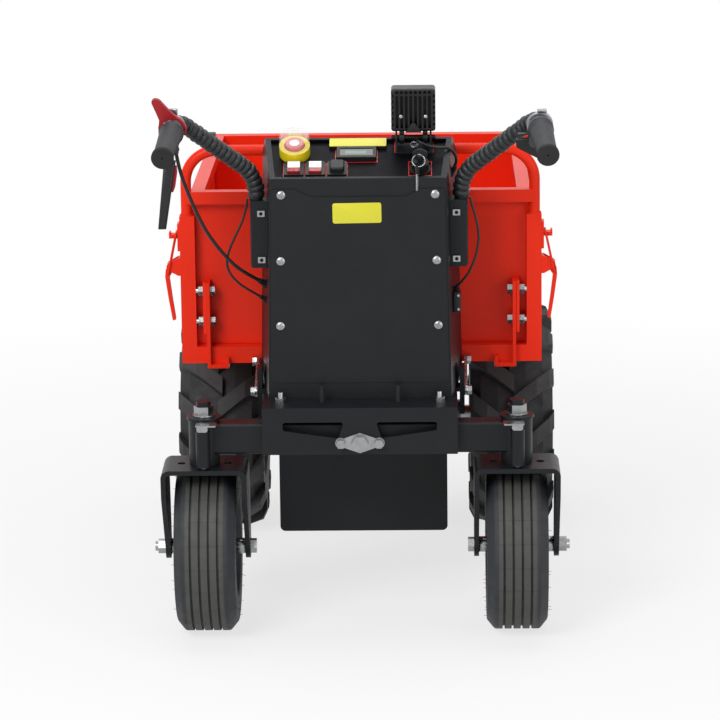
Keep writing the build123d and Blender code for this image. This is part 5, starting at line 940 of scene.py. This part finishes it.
# lever perches: a dark clevis on the left bar and a dark fork on the right one, each with a bright clamp
perchParts = {
    "bore": 0.01105, "ease": 0.0012, "steps": 40, "pinR": 0.003, "pinReach": 0.0225, "pinSides": 24, "pinEase": 0.25,
    "brakePivot": (-0.003, -0.006, -0.031), "pivotProud": 0.003,
    "cheekIn": 0.0088, "cheekT": 0.003, "cheekW": 0.015, "cheekL": 0.038, "cheekCorner": 0.006, "cheekRound": 0.0007,
    "cheekY": 0.003, "cheekZ": 0.011, "forkIn": 0.0053, "forkT": 0.0067, "forkCorner": 0.0025, "forkRound": 0.001,
    "fork": [(-0.0140, 0.0055), (-0.0155, -0.0040), (-0.0200, -0.0240), (-0.0160, -0.0312), (-0.0100, -0.0316),
             (-0.0055, -0.0268), (0.0135, -0.0065), (0.0150, 0.0), (0.0105, 0.0107), (0.0, 0.0150), (-0.0090, 0.0120)],
    "collarR": 0.0203, "collarFrom": 0.0036, "wing": (0.016, 0.0026, 0.007, 0.001),
    "wingAt": (-0.0270, -0.0150, -0.0092),
}
perchBands = {
    "clampIn": 0.0140, "clampOut": 0.0164, "clampHalf": 0.0035, "clampBack": 0.0225,
    "clampEar": (0.0135, 0.0105, 0.0065, 0.0012), "clampEarAt": (-0.002, 0.0205, 0),
    "bandOut": 0.0212, "bandFrom": -0.0128, "bandTo": -0.0056, "bandEar": (0.015, 0.0065, 0.0072, 0.0012),
    "bandEarAt": (0.0035, 0.0222, -0.0092),
}


def ringShape(inner, outer, low, high):
    ease = perchParts["ease"]
    soft = easeShare * ease
    profile = [(inner, low), (outer - ease, low), (outer - soft, low + soft), (outer, low + ease),
               (outer, high - ease), (outer - soft, high - soft), (outer - ease, high), (inner, high)]
    return spunShape(profile, perchParts["steps"], closed=True)


def pinShape(length):
    radius = perchParts["pinR"]
    bm = bmesh.new()
    bmesh.ops.create_cone(bm, cap_ends=True, segments=perchParts["pinSides"], radius1=radius, radius2=radius,
                          depth=length)
    roundEdges(bm, levelEdges(bm), radius * perchParts["pinEase"])
    return bm


def clevisShapes(left):
    bore = perchParts["bore"]
    shapes = [(ringShape(bore, perch["leftR"], -perch["halfW"], perch["halfW"]), left)]
    sidewise = turned(90, "Y")
    reach = perchParts["pinReach"] - bore
    for sign in bothSides:
        shift = Matrix.Translation((sign * (bore + reach / 2), 0, 0))
        shapes.append((pinShape(reach), left @ shift @ sidewise))
    pivot = left.to_translation() + Vector(perchParts["brakePivot"])
    for sign in bothSides:
        cheek = plateShape(perchParts["cheekW"], perchParts["cheekL"], perchParts["cheekCorner"],
                           sign * perchParts["cheekT"], perchParts["cheekRound"])
        spot = pivot + Vector((sign * perchParts["cheekIn"], perchParts["cheekY"], perchParts["cheekZ"]))
        shapes.append((cheek, facing(spot, (0, 1, 0), (1, 0, 0))))
    outer = 2 * (perchParts["cheekIn"] + perchParts["cheekT"]) + perchParts["pivotProud"]
    shapes.append((pinShape(outer), Matrix.Translation(pivot) @ sidewise))
    return shapes


def forkShapes(right):
    bore = perchParts["bore"]
    shapes = []
    for sign in bothSides:
        middle = sign * (perchParts["forkIn"] + perchParts["forkT"] / 2)
        fork = outlineShape(perchParts["fork"], perchParts["forkT"], perchParts["forkCorner"], perchParts["forkRound"])
        shapes.append((fork, right @ Matrix.Translation((0, 0, middle))))
    shapes.append((ringShape(bore, perch["rightR"], -perchParts["forkIn"], perch["halfW"]), right))
    shapes.append((ringShape(bore, perchParts["collarR"], perchParts["collarFrom"], perch["halfW"]), right))
    shapes.append((blockShape(*perchParts["wing"]), right @ Matrix.Translation(perchParts["wingAt"])))
    return shapes


def bandShapes(right):
    clamp = perchFrame(leftSide, perch["seat"] + perchBands["clampBack"])
    half = perchBands["clampHalf"]
    return [
        (ringShape(perchBands["clampIn"], perchBands["clampOut"], -half, half), clamp),
        (blockShape(*perchBands["clampEar"]), clamp @ Matrix.Translation(perchBands["clampEarAt"])),
        (ringShape(perchParts["bore"], perchBands["bandOut"], perchBands["bandFrom"], perchBands["bandTo"]), right),
        (blockShape(*perchBands["bandEar"]), right @ Matrix.Translation(perchBands["bandEarAt"])),
    ]


def makePerches():
    right = perchFrame(rightSide)
    dark = clevisShapes(perchFrame(leftSide)) + forkShapes(right)
    makePiece("perchClamps", dark, "perchAlloy", "chassis", "lever_perches")
    makePiece("perchBand", bandShapes(right), "bandAlloy", "chassis", "lever_perches")


makePerches()
print("lever perches done")

# domed cross-slot screws, each turned to its own angle
screw = {"rows": (0.519, 0.626, 0.734), "margin": 0.019, "headR": 0.007, "headH": 0.004, "shankR": 0.003,
         "shankL": 0.009, "dome": (0.35, 0.6, 0.8, 0.93, 1.0), "domeFall": 0.62, "domeReach": 0.98, "steps": 32,
         "slotHalf": 0.0008, "slotReach": 0.0046, "slotDepth": 0.0014, "slotWithin": 0.99, "turnFrom": 0.6,
         "turnRow": 1.1, "turnSide": 0.7}


def screwShape():
    profile = [(0.0, screw["headH"])]
    for part in screw["dome"]:
        fall = screw["headH"] * screw["domeFall"] * (1 - math.sqrt(1 - (screw["domeReach"] * part) ** 2))
        profile.append((screw["headR"] * part, screw["headH"] - fall))
    profile += [(screw["headR"], 0.0), (screw["shankR"], 0.0), (screw["shankR"], -screw["shankL"]),
                (0.0, -screw["shankL"])]
    bm = spunShape(profile, screw["steps"])
    for axis in (Vector((1, 0, 0)), Vector((0, 1, 0))):
        for offset in (-screw["slotHalf"], screw["slotHalf"]):
            geom = list(bm.verts) + list(bm.edges) + list(bm.faces)
            bmesh.ops.bisect_plane(bm, geom=geom, dist=mergeGap, plane_co=axis * offset, plane_no=axis)
    slot = []
    for face in bm.faces:
        middle = face.calc_center_median()
        inReach = math.hypot(middle.x, middle.y) < screw["slotReach"]
        narrow = min(abs(middle.x), abs(middle.y)) < screw["slotHalf"] * screw["slotWithin"]
        if middle.z > screw["headH"] / 2 and inReach and narrow:
            slot.append(face)
    sunk = bmesh.ops.extrude_face_region(bm, geom=slot)
    floor = [part for part in sunk["geom"] if isinstance(part, bmesh.types.BMVert)]
    bmesh.ops.translate(bm, vec=(0, 0, -screw["slotDepth"]), verts=floor)
    bmesh.ops.delete(bm, geom=[face for face in slot if face.is_valid], context="FACES_ONLY")
    return bm


def makeCoverScrews():
    shapes = []
    for number, row in enumerate(screw["rows"]):
        across = boxHalfWidth(faceY(row), row) - screw["margin"]
        for sign in bothSides:
            turn = screw["turnFrom"] + screw["turnRow"] * number + screw["turnSide"] * sign
            place = onRearFace(sign * across, row, rearFace["coverT"])
            shapes.append((screwShape(), place @ Matrix.Rotation(turn, 4, "Z")))
    makePiece("coverScrews", shapes, "zincPlate", "chassis", "cover_screws")


makeCoverScrews()
print("cover screws done")

# plain yellow plates: one on a low carrier at the head of the panel, one on the rear cover
panelPlate = {"u": -0.0008, "v": 0.0398, "width": 0.0937, "length": 0.0215, "corner": 0.0015, "lift": 0.0058,
              "sunk": 0.001, "round": 0.0004, "margin": 0.001}
coverPlate = {"u": -0.002, "z": 0.704, "width": 0.079, "length": 0.033, "corner": 0.0035, "turn": 0.6}
film = {"thick": 0.0005, "round": 0.0001}


def makePlates():
    width, length, corner = (panelPlate[key] for key in ("width", "length", "corner"))
    carrier = plateShape(width, length, corner, panelPlate["lift"] + panelPlate["sunk"], panelPlate["round"])
    place = onPanel(panelPlate["u"], panelPlate["v"], -panelPlate["sunk"])
    makePiece("plateCarrier", [(carrier, place)], "blackPlastic", "chassis")
    margin = panelPlate["margin"]
    top = plateShape(width - margin, length - margin, corner, film["thick"], film["round"])
    place = onPanel(panelPlate["u"], panelPlate["v"], panelPlate["lift"])
    makePiece("panelPlate", [(top, place)], "labelFilm", "chassis")
    width, length, corner = (coverPlate[key] for key in ("width", "length", "corner"))
    face = plateShape(width, length, corner, film["thick"], film["round"])
    place = onRearFace(coverPlate["u"], coverPlate["z"], rearFace["coverT"]) @ turned(coverPlate["turn"], "Z")
    makePiece("coverPlate", [(face, place)], "labelFilm", "chassis")


makePlates()
print("plain plates done")

# thin printed frames round the fittings: centre u, v, width, length
frames = {
    "lineW": 0.0012,
    "thick": 0.00025,
    "spots": [
        (-0.1042, -0.0232, 0.0345, 0.0334),
        (-0.0694, -0.0232, 0.0345, 0.0334),
        (-0.0340, -0.0232, 0.0345, 0.0334),
        (-0.003, 0.0105, 0.069, 0.0315),
        (0.0905, 0.0345, 0.0635, 0.031),
        (0.1005, -0.0215, 0.038, 0.0368),
    ],
}


def frameShape(width, length):
    bm = sheetShape(width, length)
    face = next(iter(bm.faces))
    rim = bmesh.ops.inset_region(bm, faces=[face], thickness=frames["lineW"], use_boundary=True,
                                 use_even_offset=True)["faces"]
    bmesh.ops.delete(bm, geom=[face], context="FACES_ONLY")
    raiseFaces(bm, rim, frames["thick"])
    return bm


def makeFrames():
    shapes = [(frameShape(width, length), onPanel(u, v)) for u, v, width, length in frames["spots"]]
    makePiece("panelLines", shapes, "lineInk", "chassis")


makeFrames()
print("panel lines done")

displayGlass = {"width": 0.0535, "length": 0.0175, "corner": 0.0008, "floor": 0.007, "thick": 0.001}


def makeDisplayGlass():
    glass = plateShape(displayGlass["width"], displayGlass["length"], displayGlass["corner"], displayGlass["thick"])
    place = onPanel(displayLook["u"], displayLook["v"], displayGlass["floor"])
    makePiece("displayGlass", [(glass, place)], "displayGlass", "chassis")


makeDisplayGlass()
print("display done")

# work lamp: cable boss and screws on its back, lights and glass on its front
workLamp = {
    "x": 0.090, "backY": 0.09145, "frontY": 0.13545, "bottom": 0.8263, "height": 0.070,
    "bossHalf": 0.013, "bossTip": 0.0018, "bossLow": -0.0005, "bossRise": 0.0155, "bossOut": 0.006,
    "bossCorner": 0.0008, "bossRound": 0.001, "screwX": 0.020, "screwZ": 0.851, "screwOut": 0.0004,
    "screwScale": 0.42, "recess": 0.004, "pitch": 0.0182,
    "glassW": 0.0588, "glassH": 0.0568, "glassCorner": 0.003, "glassT": 0.0011, "glassRound": 0.0003,
    "glassIn": 0.0015,
}
# one light: the dome and the cup as shares of their radii with heights
lampCup = {"domeR": 0.0036, "dome": ((0.0, 0.0021), (0.6, 0.0018), (0.9, 0.0011), (1.0, 0.0004)), "gap": 0.0005,
           "floor": 0.0002, "rimR": 0.0085, "rim": ((0.62, 0.0006), (0.82, 0.0013), (0.96, 0.0023), (1.0, 0.0023)),
           "steps": 24}


def cupShape():
    profile = [(lampCup["domeR"] * share, z) for share, z in lampCup["dome"]]
    profile.append((lampCup["domeR"] + lampCup["gap"], lampCup["floor"]))
    profile += [(lampCup["rimR"] * share, z) for share, z in lampCup["rim"]]
    profile += [(lampCup["rimR"], 0.0), (0.0, 0.0)]
    return spunShape(profile, lampCup["steps"])


def makeLampParts():
    half = workLamp["bossHalf"]
    tip = workLamp["bossTip"]
    rise = workLamp["bossRise"]
    outline = [(-half, workLamp["bossLow"]), (half, workLamp["bossLow"]), (tip, rise), (-tip, rise)]
    boss = outlineShape(outline, 2 * workLamp["bossOut"], workLamp["bossCorner"], workLamp["bossRound"], 2)
    back = atRear(workLamp["x"], workLamp["backY"], workLamp["bottom"])
    makePiece("lampCableBoss", [(boss, facingRear(back))], "lampCoat", "work_lamp")
    screws = []
    for sign in bothSides:
        spot = atRear(workLamp["x"] + sign * workLamp["screwX"], workLamp["backY"] - workLamp["screwOut"],
                      workLamp["screwZ"])
        screws.append((screwShape(), facingRear(spot) @ Matrix.Scale(workLamp["screwScale"], 4)))
    makePiece("lampScrews", screws, "zincPlate", "work_lamp")
    front = atRear(workLamp["x"], workLamp["frontY"] - workLamp["recess"], workLamp["bottom"] + workLamp["height"] / 2)
    cups = []
    for column in (-1, 0, 1):
        for row in (-1, 0, 1):
            spot = front + Vector((column * workLamp["pitch"], 0, row * workLamp["pitch"]))
            cups.append((cupShape(), facingFront(spot)))
    makePiece("lampCups", cups, "bandAlloy", "work_lamp")
    glass = plateShape(workLamp["glassW"], workLamp["glassH"], workLamp["glassCorner"], workLamp["glassT"],
                       workLamp["glassRound"])
    spot = front + Vector((0, workLamp["recess"] - workLamp["glassIn"], 0))
    makePiece("lampGlass", [(glass, facingFront(spot))], "clearCap", "work_lamp")


makeLampParts()
print("work lamp done")

# spare key on a wire ring through the bow of the key in the switch
spareKey = {
    "hole": (0.1005, -0.024, 0.031), "ringR": 0.0104, "wireR": 0.0008, "wireSides": 8, "steps": 40,
    "hang": (-0.21, -0.483, -0.85), "lean": (0.0, -0.0099, -0.0416), "turn": 50.0,
    "head": (0.010, 0.0028, 0.014), "headRound": 0.0013, "headUp": 0.0015,
    "blade": (0.007, 0.002, 0.027), "bladeRound": 0.0007, "bladeUp": 0.002,
}


def makeSpareKey():
    along = Vector(spareKey["hang"]).normalized()
    across = Vector((1, 0, 0)) - along * along.x
    hole = onPanel(*spareKey["hole"]).to_translation()
    ring = spunShape(roundSection(spareKey["ringR"], spareKey["wireR"], spareKey["wireSides"]), spareKey["steps"],
                     closed=True)
    ringAt = facing(hole + along * spareKey["ringR"], along, along.cross(across))
    down = Vector(spareKey["lean"]).normalized()
    hang = pointing(hole + along * 2 * spareKey["ringR"], -down) @ turned(spareKey["turn"], "Z")
    headL = spareKey["head"][2]
    bladeL = spareKey["blade"][2]
    blade = blockShape(*spareKey["blade"], spareKey["bladeRound"])
    bladeAt = hang @ Matrix.Translation((0, 0, -headL - bladeL / 2 + spareKey["bladeUp"]))
    makePiece("spareKeyBlade", [(ring, ringAt), (blade, bladeAt)], "zincPlate", "chassis")
    head = blockShape(*spareKey["head"], spareKey["headRound"], 3)
    headAt = hang @ Matrix.Translation((0, 0, -headL / 2 + spareKey["headUp"]))
    makePiece("spareKeyHead", [(head, headAt)], "blackPlastic", "chassis")


makeSpareKey()
print("spare key done")

# small bright fasteners on the fixed body: the inlet block's screws and the lamp foot's bolt
fasteners = {"inletScale": 0.36, "inletX": 0.007, "inletZ": 0.0115, "foot": (0.0905, 0.0345, 0.003),
             "hexR": 0.0052, "hexH": 0.0036, "hexEase": 0.1, "washerR": 0.0066, "washerH": 0.0008, "steps": 24}


def hexShape(radius, height):
    bm = bmesh.new()
    bmesh.ops.create_circle(bm, cap_ends=True, segments=6, radius=radius)
    raiseFaces(bm, list(bm.faces), height)
    top = [edge for edge in bm.edges if all(vert.co.z > height / 2 for vert in edge.verts)]
    roundEdges(bm, top, radius * fasteners["hexEase"])
    return bm


def makeFasteners():
    shapes = []
    for sign in (-1, 1):
        spot = atRear(inletWall + fasteners["inletX"], inlet["y"] - inlet["length"] / 2,
                      inlet["z"] + sign * fasteners["inletZ"])
        shapes.append((screwShape(), facingRear(spot) @ Matrix.Scale(fasteners["inletScale"], 4)))
    foot = onPanel(*fasteners["foot"])
    radius = fasteners["washerR"]
    rise = fasteners["washerH"]
    shapes.append((spunShape([(0, 0), (radius, 0), (radius, rise), (0, rise)], fasteners["steps"]), foot))
    shapes.append((hexShape(fasteners["hexR"], fasteners["hexH"]), foot @ Matrix.Translation((0, 0, rise))))
    makePiece("smallFasteners", shapes, "zincPlate", "chassis")


makeFasteners()
print("small fasteners done")

# end caps on the open front posts, and weld beads round the hoop's legs
postCaps = {"x": 0.2885, "y": 0.8375, "z": 0.687, "size": 0.0236, "height": 0.0028, "corner": 0.003,
            "round": 0.0009}
welds = {"legX": 0.2895, "legY": 0.2025, "legZ": 0.668, "legR": 0.0094, "bead": 0.0022, "beadSides": 6,
         "ripples": 15, "ripple": 0.22, "steps": 60}


def beadShape():
    bm = spunShape(roundSection(welds["legR"], welds["bead"], welds["beadSides"]), welds["steps"], closed=True)
    for vert in bm.verts:
        turn = math.atan2(vert.co.y, vert.co.x)
        vert.co.z += welds["ripple"] * welds["bead"] * math.sin(welds["ripples"] * turn)
    return bm


def makeTrayDetails():
    caps = []
    beads = []
    for sign in bothSides:
        cap = plateShape(postCaps["size"], postCaps["size"], postCaps["corner"], postCaps["height"],
                         postCaps["round"])
        caps.append((cap, Matrix.Translation(atRear(sign * postCaps["x"], postCaps["y"], postCaps["z"]))))
        spot = atRear(sign * welds["legX"], welds["legY"], welds["legZ"])
        beads.append((beadShape(), Matrix.Translation(spot)))
    makePiece("postCaps", caps, "blackPlastic", "tray")
    makePiece("hoopWelds", beads, "weldRed", "tray", sharp=60.0)


makeTrayDetails()
print("tray details done")

# moulding hairs on the caster tyres' walls, uneven in spacing, length and lean
hairs = {"count": 24, "radii": (0.122, 0.108, 0.094), "base": 0.0488, "length": 0.0072, "thick": 0.00045,
         "tip": 0.5, "sides": 5, "uneven": 0.3, "unevenTurn": 3.7, "usual": 0.85, "longer": 0.15,
         "longerTurn": 5.1, "lean": 0.25, "leanTurn": 2.9}


def makeHairs(side, sign):
    shapes = []
    axle = Vector((sign * machine["kingpinX"], machine["casterAxleY"], machine["casterAxleZ"]))
    for face in (-1, 1):
        for step in range(hairs["count"]):
            uneven = hairs["uneven"] * math.sin(hairs["unevenTurn"] * step + sign)
            turn = 2 * math.pi * (step + uneven) / hairs["count"]
            radius = hairs["radii"][step % len(hairs["radii"])]
            longer = hairs["longer"] * math.sin(hairs["longerTurn"] * step + face)
            length = hairs["length"] * (hairs["usual"] + longer)
            root = axle + Vector((face * hairs["base"], radius * math.cos(turn), radius * math.sin(turn)))
            leanTurn = hairs["leanTurn"] * step
            out = Vector((face, hairs["lean"] * math.cos(leanTurn), hairs["lean"] * math.sin(leanTurn))).normalized()
            hair = bmesh.new()
            bmesh.ops.create_cone(hair, cap_ends=True, segments=hairs["sides"], radius1=hairs["thick"],
                                  radius2=hairs["thick"] * hairs["tip"], depth=length)
            shapes.append((hair, pointing(root + out * length / 2, out)))
    makePiece(f"tyreHairs{side.capitalize()}", shapes, "casterRubber", f"caster_wheel_{side}")


for sideName, sideSign in machine["side"].items():
    makeHairs(sideName, sideSign)
print("tyre hairs done")

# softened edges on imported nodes: their loose triangles are welded, then bevelled where they meet at an angle
softEdges = {
    0.0010: ["tray_end_walls", "tray_side_walls", "corner_posts", "hanger_brackets", "latch_bases", "belly_guard"],
    0.0008: ["lamp_bracket", "chassis_hardware", "tray_bolts", "axle_pivot_bolt", "caster_axle_left",
             "caster_axle_right"],
    0.0020: ["brake_lever", "throttle_lever"],
}
soften = {"weldGap": 0.00002, "segments": 2, "angle": 40.0}


def softenEdges():
    for width, names in softEdges.items():
        for nodeName in names:
            weld = nodes[nodeName].modifiers.new("joinCorners", "WELD")
            weld.merge_threshold = soften["weldGap"]
            bevel = nodes[nodeName].modifiers.new("softEdge", "BEVEL")
            bevel.width = width
            bevel.segments = soften["segments"]
            bevel.limit_method = "ANGLE"
            bevel.angle_limit = math.radians(soften["angle"])
            bevel.harden_normals = True


softenEdges()
print("edges softened:", sum(len(names) for names in softEdges.values()))

# backdrop and light: the floor is white to the camera away from the machine and keeps its shadow near it
stage = {"floorSize": 60.0, "floorZ": -0.0005, "floorColour": (0.86, 0.86, 0.86), "floorRough": 0.9,
         "white": (1, 1, 1), "whiteNear": 0.72, "whiteFrom": 0.7, "whiteTo": 2.0, "worldLight": 0.32}


def seenByEye(tree):
    path = tree.nodes.new("ShaderNodeLightPath")
    seen = mathNode(tree, "MAXIMUM", path.outputs["Is Camera Ray"], path.outputs["Is Glossy Ray"])
    return mathNode(tree, "MAXIMUM", seen, path.outputs["Is Transmission Ray"])


def makeFloor():
    bm = sheetShape(stage["floorSize"], stage["floorSize"])
    mesh = bpy.data.meshes.new("studioFloor")
    bm.to_mesh(mesh)
    bm.free()
    floor = bpy.data.objects.new("studioFloor", mesh)
    floor.location.z = stage["floorZ"]
    material, tree, coords, shader = startMaterial("studioFloor")
    feed(tree, stage["floorColour"], shader.inputs["Base Color"])
    shader.inputs["Roughness"].default_value = stage["floorRough"]
    shader.inputs["Specular IOR Level"].default_value = 0.0
    white = tree.nodes.new("ShaderNodeEmission")
    feed(tree, stage["white"], white.inputs["Color"])
    share = rangeNode(tree, lengthNode(tree, coords), stage["whiteFrom"], stage["whiteTo"], stage["whiteNear"])
    blend = tree.nodes.new("ShaderNodeMixShader")
    feed(tree, mathNode(tree, "MULTIPLY", share, seenByEye(tree)), blend.inputs[0])
    feed(tree, shader.outputs[0], blend.inputs[1])
    feed(tree, white.outputs[0], blend.inputs[2])
    feed(tree, blend.outputs[0], tree.nodes["Material Output"].inputs["Surface"])
    mesh.materials.append(material)
    scene.collection.objects.link(floor)


def makeWorld():
    world = bpy.data.worlds.new("studio")
    scene.world = world
    world.use_nodes = True
    tree = world.node_tree
    background = tree.nodes["Background"]
    feed(tree, stage["white"], background.inputs["Color"])
    strength = rangeNode(tree, seenByEye(tree), 0.0, 1.0, stage["worldLight"])
    feed(tree, strength, background.inputs["Strength"])


lamps = {
    "keyLight": {"place": (-1.8, -3.6, 3.0), "aim": (0, 0, 0.45), "size": 1.8, "power": 118.0},
    "fillLight": {"place": (2.6, -3.0, 1.6), "aim": (0, 0, 0.45), "size": 2.0, "power": 30.0},
    "topLight": {"place": (0, 0.4, 3.6), "aim": (0, 0, 0.4), "size": 2.6, "power": 55.0},
}


def makeLamps():
    for name, lamp in lamps.items():
        data = bpy.data.lights.new(name, "AREA")
        data.energy = lamp["power"]
        data.size = lamp["size"]
        light = bpy.data.objects.new(name, data)
        light.location = lamp["place"]
        aim = Vector(lamp["aim"]) - Vector(lamp["place"])
        light.rotation_euler = aim.to_track_quat("-Z", "Y").to_euler()
        scene.collection.objects.link(light)


makeFloor()
makeWorld()
makeLamps()
scene.view_settings.view_transform = "Standard"
print("stage and lamps set")
